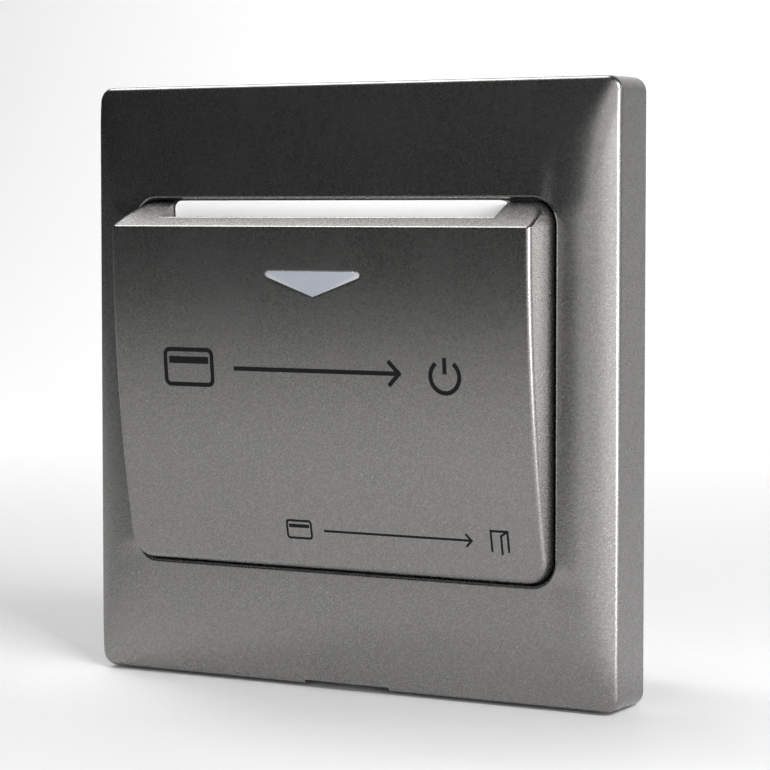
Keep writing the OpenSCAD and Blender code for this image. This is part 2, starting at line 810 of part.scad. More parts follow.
module circuit_board() {
    color("darkgreen") difference() {
        slab(board_rear_d, board_front_d) square([board_w, board_h], center = true);
        four_ways(board_screw_x, board_screw_z)
            rod(board_screw_r + fit_gap, board_rear_d - past, board_front_d + past);
        for (k = [-1:1]) {
            at([switch_x + k * switch_pin_pitch, switch_z])
                rod(pin_hole_r, board_rear_d - past, board_front_d + past);
            at([k * terminal_pitch, cage_z])
                rod(cage_pin, board_rear_d - past, board_front_d + past);
        }
        for (end = [-1, 1]) at([0, guide_z + end * led_lead_z])
            rod(lead_r + slip_gap, board_rear_d - past, board_front_d + past);
    }
}

module board_screws() {
    color(steel) four_ways(board_screw_x, board_screw_z)
        screw(board_head_r, screw_head_t, board_screw_r, board_front_d,
            board_rear_d - board_screw_in);
}

module microswitch_body() {
    color(black) difference() {
        at([switch_x, switch_z]) slab(board_front_d, switch_front_d)
            rounded_rect(switch_w, switch_t, case_corner_r);
        at([0, switch_z]) rod(plunger_r + run_gap, plunger_tip_d - plunger_len - plunger_room,
            switch_front_d + past);
    }
}

module microswitch_plunger() {
    color("firebrick") at([0, switch_z]) rod(plunger_r, plunger_tip_d - plunger_len, plunger_tip_d);
}

module microswitch_terminals() {
    color(brass) for (k = [-1:1])
        at([switch_x + k * switch_pin_pitch, switch_z])
            box([-switch_pin_t / 2, switch_pin_t / 2], [board_rear_d - pin_out, board_front_d],
                [-switch_pin_w / 2, switch_pin_w / 2]);
}

module indicator_led() {
    neck_d = board_front_d + led_flange_t + led_len;
    color("gainsboro") at([0, guide_z]) union() {
        rod(led_flange_r, board_front_d, board_front_d + led_flange_t);
        rod(led_r, board_front_d, neck_d);
        translate([0, -neck_d, 0]) sphere(led_r);
        for (end = [-1, 1]) at([0, end * led_lead_z])
            rod(lead_r, board_rear_d - pin_out, board_front_d + led_flange_t / 2);
    }
}

module timer_chip() {
    color(black) at(chip_at) union() {
        box([-chip_size[0] / 2, chip_size[0] / 2],
            [board_front_d + chip_lift, board_front_d + chip_size[2]],
            [-chip_size[1] / 2, chip_size[1] / 2]);
        // Legs along the two long sides
        for (k = [-1.5:1:1.5])
            translate([k * chip_leg_pitch, 0, 0])
                box([-chip_leg_w / 2, chip_leg_w / 2], [board_front_d, board_front_d + 2 * chip_lift],
                    [-chip_size[1] / 2 - chip_leg_out, chip_size[1] / 2 + chip_leg_out]);
    }
}

// Part with a boxed case, standing on the rear of the board
module cased(size) {
    slab(board_rear_d - size[2], board_rear_d) rounded_rect(size[0], size[1], case_corner_r);
}

module relay() {
    color("royalblue") at([relay_x, relay_z]) cased(relay_size);
}

module film_capacitor() {
    color("goldenrod") at([film_x, film_z]) cased(film_size);
}

module electrolytic_capacitor() {
    groove_d = board_rear_d - sleeve_groove_from;
    color("midnightblue") at([electrolytic_x, electrolytic_z]) difference() {
        rod(electrolytic_r, board_rear_d - electrolytic_len, board_rear_d);
        difference() {
            rod(electrolytic_r + past, groove_d - sleeve_groove,
                groove_d + sleeve_groove);
            rod(electrolytic_r - sleeve_groove, groove_d - past, groove_d + past);
        }
    }
}

module varistor() {
    disc_d = board_rear_d - varistor_r - clear_gap;
    lead_x = 2.5;
    color("steelblue") at([diode_x, film_z]) union() {
        translate([0, -disc_d, 0]) cylinder(r = varistor_r, h = varistor_t, center = true);
        for (side = [-1, 1]) translate([side * lead_x, 0, 0]) rod(lead_r, disc_d, board_rear_d);
    }
}

// Round part lying on the rear of the board, with a bent lead at each end
module axial(r, len) {
    mid_d = board_rear_d - r - lead_lift;
    reach = len / 2 + lead_out;
    translate([0, -mid_d, 0]) rotate([0, 90, 0]) cylinder(r = r, h = len, center = true);
    translate([0, -mid_d, 0]) rotate([0, 90, 0]) cylinder(r = lead_r, h = 2 * reach, center = true);
    for (side = [-1, 1]) translate([side * (reach - lead_r), 0, 0])
        rod(lead_r, mid_d, board_rear_d);
}

module rectifier_diodes() {
    color(black) for (k = [0:diode_count - 1])
        at([diode_x, axial_z + k * diode_step]) axial(diode_r, diode_len);
}

module resistors() {
    color("tan") for (k = [0:resistor_count - 1])
        at([electrolytic_x, axial_z + k * resistor_step]) axial(resistor_r, resistor_len);
}

module terminal_block() {
    bottom = terminal_bottom;
    color("dimgray") difference() {
        union() {
            box([-terminal_w / 2, terminal_w / 2], [housing_rear_d, terminal_front_d],
                [bottom, terminal_top]);
            // Feet on the board
            both_ways(terminal_w / 2 - terminal_foot_w / 2)
                box([-terminal_foot_w / 2, terminal_foot_w / 2],
                    [terminal_front_d - past, board_rear_d],
                    [-board_h / 2, terminal_top]);
        }
        for (k = [-1:1]) translate([k * terminal_pitch, 0, 0]) {
            // Chamber of the cage, open below for the wire
            box([-cage_w / 2 - slip_gap, cage_w / 2 + slip_gap],
                [cage_d - cage_deep / 2 - slip_gap, cage_d + cage_deep / 2 + slip_gap],
                [bottom - past, cage_top + slip_gap]);
            translate([0, 0, cage_z]) {
                rod(terminal_head_r + fit_gap, housing_rear_d - past,
                    terminal_head_d + terminal_head_t + slip_gap);
                rod(terminal_screw_r + fit_gap, housing_rear_d - past, cage_d);
                box([-cage_pin / 2 - slip_gap, cage_pin / 2 + slip_gap],
                    [cage_d, terminal_front_d + past],
                    [-cage_pin / 2 - slip_gap, cage_pin / 2 + slip_gap]);
            }
        }
    }
}

module terminal_cages() {
    color(brass) for (k = [-1:1]) translate([k * terminal_pitch, 0, cage_z]) difference() {
        union() {
            box([-cage_w / 2, cage_w / 2], [cage_d - cage_deep / 2, cage_d + cage_deep / 2],
                [-cage_len / 2, cage_len / 2]);
            box([-cage_pin / 2, cage_pin / 2], [cage_d, board_front_d - slip_gap],
                [-cage_pin / 2, cage_pin / 2]);
        }
        box([-cage_in_w / 2, cage_in_w / 2], [cage_d - cage_in_d / 2, cage_d + cage_in_d / 2],
            [-cage_len / 2 - past, cage_len / 2 + past]);
        rod(terminal_screw_r + run_gap, cage_d - cage_deep, cage_d);
    }
}

module terminal_screws() {
    tip_d = cage_d - cage_in_d / 2;
    color(steel) for (k = [-1:1]) translate([k * terminal_pitch, 0, cage_z])
        mirror([0, 1, 0]) screw(terminal_head_r, terminal_head_t, terminal_screw_r,
            -terminal_head_d - terminal_head_t, -tip_d);
}

faceplate_frame();
card_cover();
arrow_lens();
pocket_backplate();
light_guide();
card_lever();
lever_pin();
lever_spring();
mounting_base();
rear_housing();
housing_screws();
circuit_board();
board_screws();
microswitch_body();
microswitch_plunger();
microswitch_terminals();
indicator_led();
timer_chip();
relay();
film_capacitor();
electrolytic_capacitor();
varistor();
rectifier_diodes();
resistors();
terminal_block();
terminal_cages();
terminal_screws();
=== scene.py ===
# %% [markdown]
# # A hotel key card switch, dressed for its picture
# The object is a square wall plate with a wedge-shaped pocket for a room's key card. The packed model
# arrives in metres: +X to the right, +Z up the wall and -Y out into the room. The pieces below are
# worked out in millimetres, with a depth that counts forward from the wall, because that is how such a
# plate is drawn, and one helper turns them into metres at the end.

# %% Frame and units
import json

import bmesh
import bpy
import numpy as np
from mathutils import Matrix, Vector


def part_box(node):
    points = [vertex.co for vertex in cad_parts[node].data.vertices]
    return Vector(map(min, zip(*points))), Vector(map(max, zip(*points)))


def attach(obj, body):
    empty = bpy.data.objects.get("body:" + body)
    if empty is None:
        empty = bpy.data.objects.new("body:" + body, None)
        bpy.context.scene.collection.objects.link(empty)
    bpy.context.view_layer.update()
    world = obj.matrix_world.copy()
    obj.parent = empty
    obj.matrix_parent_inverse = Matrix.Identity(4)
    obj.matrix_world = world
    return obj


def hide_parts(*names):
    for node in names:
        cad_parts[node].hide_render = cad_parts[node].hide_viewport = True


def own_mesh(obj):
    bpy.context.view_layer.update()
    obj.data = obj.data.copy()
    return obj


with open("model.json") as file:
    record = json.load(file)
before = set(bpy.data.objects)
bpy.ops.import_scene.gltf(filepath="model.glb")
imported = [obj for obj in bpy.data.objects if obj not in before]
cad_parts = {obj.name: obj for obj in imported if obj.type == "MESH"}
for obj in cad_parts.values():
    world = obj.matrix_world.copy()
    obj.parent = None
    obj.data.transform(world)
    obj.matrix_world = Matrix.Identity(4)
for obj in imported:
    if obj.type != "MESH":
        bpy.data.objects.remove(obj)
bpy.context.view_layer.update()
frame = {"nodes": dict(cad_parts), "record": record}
MM = 0.001
PLATE_HALF = 43.0
PLATE_CORNER_R = 2.1

# %% [markdown]
# ## From arrays to pieces
# A piece could start as one of Blender's cubes and be pushed into shape, but then its sizes would be
# lost in the edits. Here every new piece is a table of points and a table of faces, worked out from
# named sizes. The helper joins points that fall together, so that seams and poles close, drops the
# slivers that are left, points every face outwards and keeps an edge crisp only where it turns by more
# than a set angle.

# %% Piece helper
MERGE_MM = 0.0008
SHARP_DEG = 35.0


def add_piece(name, points, faces, slot, stands_for=(), body="wall_unit", sharp=SHARP_DEG):
    """Points are rows of x, depth and z in millimetres: depth runs forward, which is -Y."""
    mesh = bpy.data.meshes.new(name)
    mesh.from_pydata((points * (MM, -MM, MM)).tolist(), [], faces.tolist())
    knit = bmesh.new()
    knit.from_mesh(mesh)
    bmesh.ops.remove_doubles(knit, verts=knit.verts, dist=MERGE_MM * MM)
    bmesh.ops.dissolve_degenerate(knit, edges=knit.edges, dist=MERGE_MM * MM)
    bmesh.ops.recalc_face_normals(knit, faces=knit.faces)
    knit.to_mesh(mesh)
    knit.free()
    mesh.polygons.foreach_set("use_smooth", np.ones(len(mesh.polygons), dtype=bool))
    mesh.set_sharp_from_angle(angle=np.radians(sharp))
    piece = bpy.data.objects.new(name, mesh)
    bpy.context.scene.collection.objects.link(piece)
    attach(piece, body)
    if stands_for:
        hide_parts(*stands_for)
    print(name, len(mesh.vertices), "points", len(mesh.polygons), "faces")
    return piece


def grid_faces(rows, columns, close_rows=False, close_columns=False):
    """Quads between neighbours of a rows by columns table of points, row by row, closed on request."""
    numbers = np.arange(rows * columns).reshape(rows, columns)
    if close_rows:
        numbers = np.vstack([numbers, numbers[:1]])
    if close_columns:
        numbers = np.hstack([numbers, numbers[:, :1]])
    corners = [numbers[:-1, :-1], numbers[:-1, 1:], numbers[1:, 1:], numbers[1:, :-1]]
    return np.stack(corners, axis=-1).reshape(-1, 4)


print("a 3 by 4 table has", len(grid_faces(3, 4)), "quads")

# %% [markdown]
# ## The plate's front
# The plate is a pillowed frame: each of its four bands swells from the outer edge to the opening like a
# slice of a wide barrel, and neighbouring bands meet in a soft mitre at the corners. A subdivided cage
# could be pulled to this swell, but its highlights would waver, and paint shows that. Here each band is
# a circular arc across its width. The smaller of the two arcs, sideways and upwards, is the frame's
# height, and a smooth minimum rounds the mitre as a mould maker's cutter would.

# %% Plate height
PLATE_EDGE = 8.0
PLATE_CROWN = 2.7
LIP_SLOPE = np.radians(3.0)
FACE_D = PLATE_EDGE + PLATE_CROWN
OPENING_HALF_W = 34.6
OPENING_TOP = 26.5
OPENING_FOOT = -26.05
OPENING_MID_Z = (OPENING_TOP + OPENING_FOOT) / 2
OPENING_HALF_H = (OPENING_TOP - OPENING_FOOT) / 2
OPENING_R = 3.6
MITRE_SOFT = 1.2
INNER_RISE = 0.15


def pillow_arc(across, half_opening):
    """Height of one band: an arc from the plate's edge to the opening, and a gentle rise past that."""
    band = PLATE_HALF - half_opening
    edge_slope = 2 * np.arctan2(PLATE_CROWN, band) - LIP_SLOPE
    arc_r = band / (np.sin(edge_slope) - np.sin(LIP_SLOPE))
    arc_middle = half_opening - arc_r * np.sin(LIP_SLOPE)
    reach = np.clip(np.maximum(across, half_opening) - arc_middle, 0, arc_r)
    arc = FACE_D - arc_r * np.cos(LIP_SLOPE) + np.sqrt(arc_r ** 2 - reach ** 2)
    inside = np.maximum(half_opening - across, 0)
    return arc + inside * np.tan(LIP_SLOPE) + INNER_RISE * inside ** 2


def plate_height(x, z):
    """Smooth minimum of the sideways and upward bands: it dips below both where they come close."""
    side = pillow_arc(np.abs(x), OPENING_HALF_W)
    level = pillow_arc(np.abs(z), np.where(z > 0, OPENING_TOP, -OPENING_FOOT))
    near = np.clip(1 - np.abs(side - level) / MITRE_SOFT, 0, 1)
    return np.minimum(side, level) - MITRE_SOFT / 4 * near ** 2


band_middle = (PLATE_HALF + OPENING_HALF_W) / 2
print("depth at the middle of the right band", plate_height(np.array([band_middle]), np.zeros(1)))

# %% [markdown]
# ## Rounded loops
# The opening, the rim and the skirt are all rounded rectangles. If each is walked with the same count
# of points, from the same corner, then a surface between two of them is a plain blend of their points.
# The rim has a notch at its foot, where a blade pries the plate off, so each side gets two close pairs
# of points.

# %% Side stops
EVEN_STOPS = 60
PRY_HALF_W = 7.0
PRY_H = 0.6
PRY_STEP = 0.02
PRY_CLEAR_SHARE = 0.004


def side_stops():
    """Places along a side, from 0 to 1, with two close pairs where the pry notch begins and ends."""
    rim_run = 2 * (PLATE_HALF - PLATE_CORNER_R)
    notch = 0.5 + np.array([-1, 1]) * PRY_HALF_W / rim_run
    step = PRY_STEP / rim_run
    pairs = np.concatenate([notch - step, notch + step])
    even = np.linspace(0, 1, EVEN_STOPS + 2)[1:-1]
    clear = np.abs(even[:, None] - notch).min(axis=1) > PRY_CLEAR_SHARE
    return np.sort(np.concatenate([even[clear], pairs]))


STOPS = side_stops()
print("stops on each side", len(STOPS))

# %% Rounded loops
CORNER_STEPS = 20


def corner_arcs(half_w, half_h, radius, steps):
    """Quarter circles at a rectangle's corners, walked to the left from the upper right one."""
    turns = np.radians(np.linspace(0, 90, steps) + 90 * np.arange(4)[:, None])
    signs = np.array([[1, 1], [-1, 1], [-1, -1], [1, -1]])
    middles = signs * (half_w - radius, half_h - radius)
    return middles[:, None] + radius * np.stack([np.cos(turns), np.sin(turns)], axis=-1)


def rounded_loop(half_w, half_h, radius):
    """Four quarter circles, joined by straight sides that are cut at the same stops."""
    arcs = corner_arcs(half_w, half_h, radius, CORNER_STEPS + 1)
    start = arcs[:, -1]
    end = np.roll(arcs[:, 0], -1, axis=0)
    sides = start[:, None] + (end - start)[:, None] * STOPS[None, :, None]
    return np.concatenate([arcs, sides], axis=1).reshape(-1, 2)


def opening_loop(out):
    """The opening's outline, moved outwards."""
    loop = rounded_loop(OPENING_HALF_W + out, OPENING_HALF_H + out, OPENING_R + out)
    return loop + (0, OPENING_MID_Z)


def rim_loop(inset):
    """The plate's outline, moved inwards."""
    return rounded_loop(PLATE_HALF - inset, PLATE_HALF - inset, PLATE_CORNER_R - inset)


print("loop of", len(rim_loop(0)), "points")

# %% [markdown]
# ## Rolled edges
# A sprayed plate shows every crease, so its edges roll over without one. A quarter circle would meet
# the sloping pillow at an angle. Each roll is therefore an arc that leaves along the pillow's own slope
# and ends upright, point by point round the loop.

# %% Edge roll
LIP_ROLL = 0.45
EDGE_ROLL = 0.85
ROLL_STEPS = 9
LEAN_STEP = 0.05


def tangent_roll(edge, step, radius):
    """Arc that leaves the pillow along its own slope and ends upright: loops of x, depth and z.

    The edge loop moves in by step for each millimetre. The pillow's lean is read just inside the roll, and
    each point's arc turns from that lean to a right angle round a middle one radius under the surface.
    """
    near = plate_height(*(edge + radius * step).T)
    further = plate_height(*(edge + (radius + LEAN_STEP) * step).T)
    lean = np.arctan2(further - near, LEAN_STEP)
    start = edge + (radius * (1 - np.sin(lean)))[:, None] * step
    middle = plate_height(*start.T) - radius * np.cos(lean)
    turn = lean + (np.pi / 2 - lean) * np.linspace(0, 1, ROLL_STEPS)[:, None]
    place = edge + (radius * (1 - np.sin(turn)))[..., None] * step
    return np.stack([place[..., 0], middle + radius * np.cos(turn), place[..., 1]], axis=-1)


lip = opening_loop(0)
lip_arc = tangent_roll(lip, opening_loop(1) - lip, LIP_ROLL)
rim = rim_loop(0)
edge_arc = tangent_roll(rim, rim_loop(1) - rim, EDGE_ROLL)
print("roll over the lip", lip_arc.shape, "and over the outer edge", edge_arc.shape)

# %% [markdown]
# ## The plate as one skin
# A Boolean could cut the opening out of a slab, but it leaves long thin faces that shade badly under a
# metallic paint. Here one skin starts at the foot of the skirt inside the opening, rolls over the
# opening's lip, crosses the pillow, rolls over the outer edge, runs down the side to the wall, and comes
# back underneath. Each step of that walk is one loop with a depth, and stacking the loops gives a closed
# ring of faces. Extra loops beside the rolls keep the light from smearing across the flat parts.

# %% Plate piece
REAR_ROLL = 0.3
REAR_STEPS = 8
PLATE_WALL = 2.0
INSIDE_R = 1.0
SKIRT_WALL = 1.5
SKIRT_FOOT_D = 4.4
FRONT_LOOPS = 26
UNDER_LOOPS = 9
BESIDE_ROLL = 0.15
BESIDE_REAR = 0.1
BESIDE_SHARE = 0.006


def plate_skin():
    """Loops of x and z with depths, walked from the skirt's foot over the front and back underneath."""
    loops = []

    def add(loop, depth):
        """One more loop of the walk, at one depth or at a depth for each point."""
        loops.append(np.column_stack([loop[:, 0], np.broadcast_to(depth, len(loop)), loop[:, 1]]))

    add(lip, SKIRT_FOOT_D)
    add(lip, lip_arc[-1, :, 1] - BESIDE_ROLL)
    loops.extend(lip_arc[::-1])
    inner = lip_arc[0][:, [0, 2]]
    outer = edge_arc[0][:, [0, 2]]
    shares = np.concatenate([[BESIDE_SHARE], np.linspace(0, 1, FRONT_LOOPS)[1:-1], [1 - BESIDE_SHARE]])
    for share in shares:
        between = inner + (outer - inner) * share
        add(between, plate_height(*between.T))
    loops.extend(edge_arc)
    add(rim, edge_arc[-1, :, 1] - BESIDE_ROLL)
    add(rim, REAR_ROLL + BESIDE_REAR)
    for turn in np.radians(np.linspace(0, 90, REAR_STEPS)):
        add(rim_loop(REAR_ROLL * (1 - np.cos(turn))), REAR_ROLL * (1 - np.sin(turn)))
    inside = rounded_loop(PLATE_HALF - PLATE_WALL, PLATE_HALF - PLATE_WALL, INSIDE_R)
    add(inside, 0)
    skirt = opening_loop(SKIRT_WALL)
    for share in np.linspace(0, 1, UNDER_LOOPS):
        between = inside + (skirt - inside) * share
        add(between, plate_height(*between.T) - PLATE_WALL)
    add(skirt, SKIRT_FOOT_D)
    skin = np.array(loops)
    notched = (np.abs(skin[..., 0]) < PRY_HALF_W) & (skin[..., 2] < PRY_H - PLATE_HALF)
    skin[..., 2] = np.where(notched, PRY_H - PLATE_HALF, skin[..., 2])
    return skin


skin = plate_skin()
plate = add_piece("plate_frame", skin.reshape(-1, 3),
                  grid_faces(*skin.shape[:2], close_rows=True, close_columns=True),
                  "graphite_paint", ("faceplate_frame",))

# %% [markdown]
# ## The cover's section
# From the side the cover is a wedge. Its face is part of a very large circle that stands off most at
# the top, and a straight brow slopes back from there to the plate. The edge between them is a small arc,
# which catches the light as the thin bright line along the top of the face. The section could be drawn
# as a curve and extruded. As a formula it gives the depth at any height, which the lens, the print and
# the lining need too.

# %% Cover section
COVER_HALF_W = 34.25
COVER_TOP = 26.15
COVER_FOOT = -25.7
COVER_MID_Z = (COVER_TOP + COVER_FOOT) / 2
COVER_HALF_H = (COVER_TOP - COVER_FOOT) / 2
COVER_R = 3.25
COVER_D = 17.3
COVER_RISE = 6.6
BROW_DROP = 3.5
BROW_Z = COVER_TOP - BROW_DROP
COVER_FRONT_R = 220.0
COVER_WALL = 2.1
COVER_ROLL = 0.7
BROW_ROLL = 0.4
brow_fall = COVER_RISE / BROW_DROP
brow_turn = np.arctan(brow_fall)
arc_from = BROW_Z - BROW_ROLL * np.tan(brow_turn / 2)
arc_to = arc_from + BROW_ROLL * np.sin(brow_turn)


def front_depth(z):
    """Great circle up to the brow's arc, the arc itself, and then the brow's straight fall."""
    face = COVER_D - COVER_FRONT_R + np.sqrt(COVER_FRONT_R ** 2 - (z - BROW_Z) ** 2)
    along = np.clip(z - arc_from, 0, BROW_ROLL)
    arc = COVER_D - BROW_ROLL + np.sqrt(BROW_ROLL ** 2 - along ** 2)
    brow = COVER_D - (z - BROW_Z) * brow_fall
    return np.where(z < arc_from, face, np.where(z < arc_to, arc, brow))


def lining_depth(z):
    """The section moved in by the wall: a smaller circle, cut off by the moved brow."""
    inner_r = COVER_FRONT_R - COVER_WALL
    face = COVER_D - COVER_FRONT_R + np.sqrt(inner_r ** 2 - (z - BROW_Z) ** 2)
    brow_foot = COVER_TOP - COVER_WALL * np.sqrt(1 + 1 / brow_fall ** 2)
    return np.minimum(face, FACE_D + (brow_foot - z) * brow_fall)


print("cover stands off at its foot, middle and brow", front_depth(np.array([COVER_FOOT, 0.0, BROW_Z])))

# %% [markdown]
# ## The card slot
# A card enters from above, between the cover's lip and the white rear wall of the pocket, which runs
# back a little towards its foot. The slot could be cut with a Boolean and bevelled. Working out where a
# small arc touches both the brow and the slot's front wall gives a lip that is round from the start.

# %% Card slot
SLOT_HALF_W = 27.5
SLOT_FRONT_D = 14.5
LIP_R = 0.2
PANEL_TILT = np.tan(np.radians(4.0))
PANEL_TOP_D = 11.0
lip_mid_d = SLOT_FRONT_D + LIP_R
lip_mid_z = BROW_Z + (COVER_D - SLOT_FRONT_D) / brow_fall - LIP_R / np.tan(brow_turn / 2)
lip_front_z = lip_mid_z + LIP_R * np.cos(brow_turn)
SLOT_Z = lip_mid_z + LIP_R


def panel_depth(z):
    """The pocket's rear wall leans back by four degrees from its top."""
    return PANEL_TOP_D - PANEL_TILT * (COVER_TOP - z)


print("slot opens above z", SLOT_Z, "and in front of depth", panel_depth(SLOT_Z))

# %% [markdown]
# ## The cover as two sheets
# The cover is a shell. A Solidify modifier could give it a wall, but not the ribs and the guides inside,
# so its front and its back are two sheets of depth over the same grid of x and z. The grid's lines are
# dense where an edge rolls and doubled where the back steps from lining to rib or wall. Cells of the
# card slot are left out, and wherever a kept cell has no neighbour the two sheets are joined by a wall.
# The same rule closes the outline and the slot at once.

# %% Cover front
DOUBLE = 0.00002
slot_edge_z = SLOT_Z + DOUBLE / 2


def edge_inset(x, z):
    """How far a point lies inside the cover's rounded outline."""
    out_x = np.abs(x) - (COVER_HALF_W - COVER_R)
    out_z = np.abs(z - COVER_MID_Z) - (COVER_HALF_H - COVER_R)
    corner = COVER_R - np.hypot(np.maximum(out_x, 0), np.maximum(out_z, 0))
    return np.where((out_x > 0) & (out_z > 0), corner, COVER_R - np.maximum(out_x, out_z))


def roll_drop(inset, radius):
    """How far a quarter-circle roll falls below the surface it starts from."""
    short = np.clip(radius - inset, 0, radius)
    return radius - np.sqrt(radius ** 2 - short ** 2)


def cover_front(x, z):
    """The section's front, rolled down at the outline, and rounded at the slot's lip."""
    depth = front_depth(z) - roll_drop(edge_inset(x, z), COVER_ROLL)
    rise = np.clip(z - lip_mid_z, 0, LIP_R)
    lip = lip_mid_d + np.sqrt(LIP_R ** 2 - rise ** 2)
    in_slot = (np.abs(x) < SLOT_HALF_W) & (z > lip_front_z) & (z < slot_edge_z)
    return np.where(in_slot, lip, depth)


middle = np.zeros(1)
print("front at the cover's middle", cover_front(middle, middle))

# %% Cover back
RIB_T = 1.5
RIB_GAP = 0.25
CHANNEL_X = 14.0
CHANNEL_GAP = 1.4
CHANNEL_TOP = -6.0
CHANNEL_LEAD = 6.0
COVER_FOOT_D = 4.0
INNER_HALF_W = COVER_HALF_W - COVER_WALL
INNER_HALF_H = COVER_HALF_H - COVER_WALL


def cover_back(x, z):
    """Lining, slot wall, channel ribs, guide ribs or outer wall, whichever stands at that place."""
    side = np.abs(x)
    rise = np.clip(z - lip_mid_z, 0, LIP_R)
    slot_wall = np.where(z > lip_mid_z, lip_mid_d - np.sqrt(LIP_R ** 2 - rise ** 2), SLOT_FRONT_D)
    depth = lining_depth(z)
    under_lip = (z > BROW_Z - COVER_WALL) & (z < slot_edge_z)
    depth = np.where((side < SLOT_HALF_W) & under_lip, slot_wall, depth)
    lead = np.clip((z - CHANNEL_TOP) / CHANNEL_LEAD, 0, 1)
    channel = panel_depth(z) + CHANNEL_GAP + lead * COVER_RISE
    depth = np.where(np.abs(side - CHANNEL_X) < RIB_T / 2, np.minimum(depth, channel), depth)
    guide = (side < SLOT_HALF_W + RIB_T) & ((side > SLOT_HALF_W) | (z > slot_edge_z))
    depth = np.where(guide, panel_depth(z) + RIB_GAP, depth)
    outer = (side > INNER_HALF_W) | (np.abs(z - COVER_MID_Z) > INNER_HALF_H)
    return np.where(outer, COVER_FOOT_D, depth)


print("wall at the cover's middle", cover_front(middle, middle) - cover_back(middle, middle))

# %% [markdown]
# ## The cover's grid
# The grid could be even and very fine, but then most of its faces would lie on flat parts. Here its
# lines come in runs: close at the rolled outline, the brow's arc and the slot's lip, a pair a hair
# apart at each step of the back, and wide elsewhere. A run is its first place, its last place and its
# count of lines.

# %% Grid lines
WINDOW_HALF_W = 9.6
WINDOW_Z = (11.5, 17.9)
WINDOW_COLUMNS = 40
WINDOW_ROWS = 20
QUARTER_STEPS = 9
BROW_STEPS = 7
BESIDE_BROW = 0.03
COLUMN_RUNS = ((33.4, 29.6, 11), (27.0, 15.4, 10), (12.8, 10.2, 4))
ROW_RUNS = ((-24.8, -23.9, 4), (-23.3, 11.0, 34), (18.4, 22.2, 8), (22.95, 23.5, 4), (24.4, 25.3, 4))
quarter = np.radians(np.linspace(0, 90, QUARTER_STEPS))
roll_in = COVER_ROLL * (1 - np.cos(quarter))


def doubled(*places):
    """Two lines a hair apart at each place, one for each side of a step."""
    return (np.array(places)[:, None] + np.array([-DOUBLE, DOUBLE])).ravel()


def cover_columns():
    """Lines of constant x: dense at the outline's roll, doubled at each rib, even in the window."""
    steps = (INNER_HALF_W, SLOT_HALF_W + RIB_T, SLOT_HALF_W, CHANNEL_X + RIB_T / 2, CHANNEL_X - RIB_T / 2)
    runs = [np.linspace(*run) for run in COLUMN_RUNS]
    half = np.concatenate([COVER_HALF_W - roll_in, *runs, doubled(*steps)])
    window = np.linspace(-WINDOW_HALF_W, WINDOW_HALF_W, WINDOW_COLUMNS + 1)
    return np.sort(np.concatenate([half, -half, window]))


def cover_rows():
    """Lines of constant z: dense at the outline, at the brow's arc and at the slot's lip."""
    window = np.linspace(*WINDOW_Z, WINDOW_ROWS + 1)
    arc = arc_from + BROW_ROLL * np.sin(np.linspace(0, brow_turn, BROW_STEPS))
    beside_arc = arc[[0, -1]] + (-BESIDE_BROW, BESIDE_BROW)
    slot_lip = lip_mid_z + LIP_R * np.sin(quarter)
    walls = doubled(COVER_MID_Z - INNER_HALF_H, COVER_MID_Z + INNER_HALF_H)
    lip_steps = doubled(BROW_Z - COVER_WALL, SLOT_Z)[1:]
    runs = [np.linspace(*run) for run in ROW_RUNS]
    outline = (COVER_FOOT + roll_in, COVER_TOP - roll_in)
    return np.sort(np.concatenate([*outline, walls, window, lip_steps, arc, beside_arc, slot_lip, *runs]))


columns = cover_columns()
rows = cover_rows()
print("grid lines", len(columns), "by", len(rows))

# %% [markdown]
# ## The grid's corners
# The cover's outline has round corners, and a grid has square ones. Cells could be cut along the arc, but
# that leaves ragged triangles. Instead the rows near the top and the bottom are squeezed towards the
# middle where the outline bends in, so that the grid's border is the outline.

# %% Grid corners
KEEP_HALF_H = 22.6


def cover_table(columns, rows):
    """Grid of x and z whose rows near the top and bottom are squeezed to follow the rounded corners."""
    x, z = np.meshgrid(columns, rows, indexing="ij")
    out = np.clip(np.abs(x) - (COVER_HALF_W - COVER_R), 0, COVER_R)
    reach = COVER_HALF_H - COVER_R + np.sqrt(COVER_R ** 2 - out ** 2)
    squeeze = (reach - KEEP_HALF_H) / (COVER_HALF_H - KEEP_HALF_H)
    up = z - COVER_MID_Z
    squeezed = COVER_MID_Z + np.sign(up) * (KEEP_HALF_H + (np.abs(up) - KEEP_HALF_H) * squeeze)
    return x, np.where(np.abs(up) > KEEP_HALF_H, squeezed, z)


cover_x, cover_z = cover_table(columns, rows)
print("cover grid", cover_x.shape)

# %% [markdown]
# ## The arrow's window
# A rounded triangle is cut through the cover for the lit arrow. A grid can't follow its slanting sides,
# so a rectangle of cells is left out round it, and loops that change step by step from the triangle's
# outline to the rectangle fill the rest. All their points lie on the same face, so nothing shows on the
# paint.

# %% Arrow outline
ARROW_Z = 14.7
ARROW_HALF_W = 7.7
ARROW_HALF_H = 1.8
ARROW_R = 0.5
CORNER_POINTS = 60
OUTLINE_POINTS = 2 * (WINDOW_COLUMNS + WINDOW_ROWS)
TURN_WEIGHT = 0.45


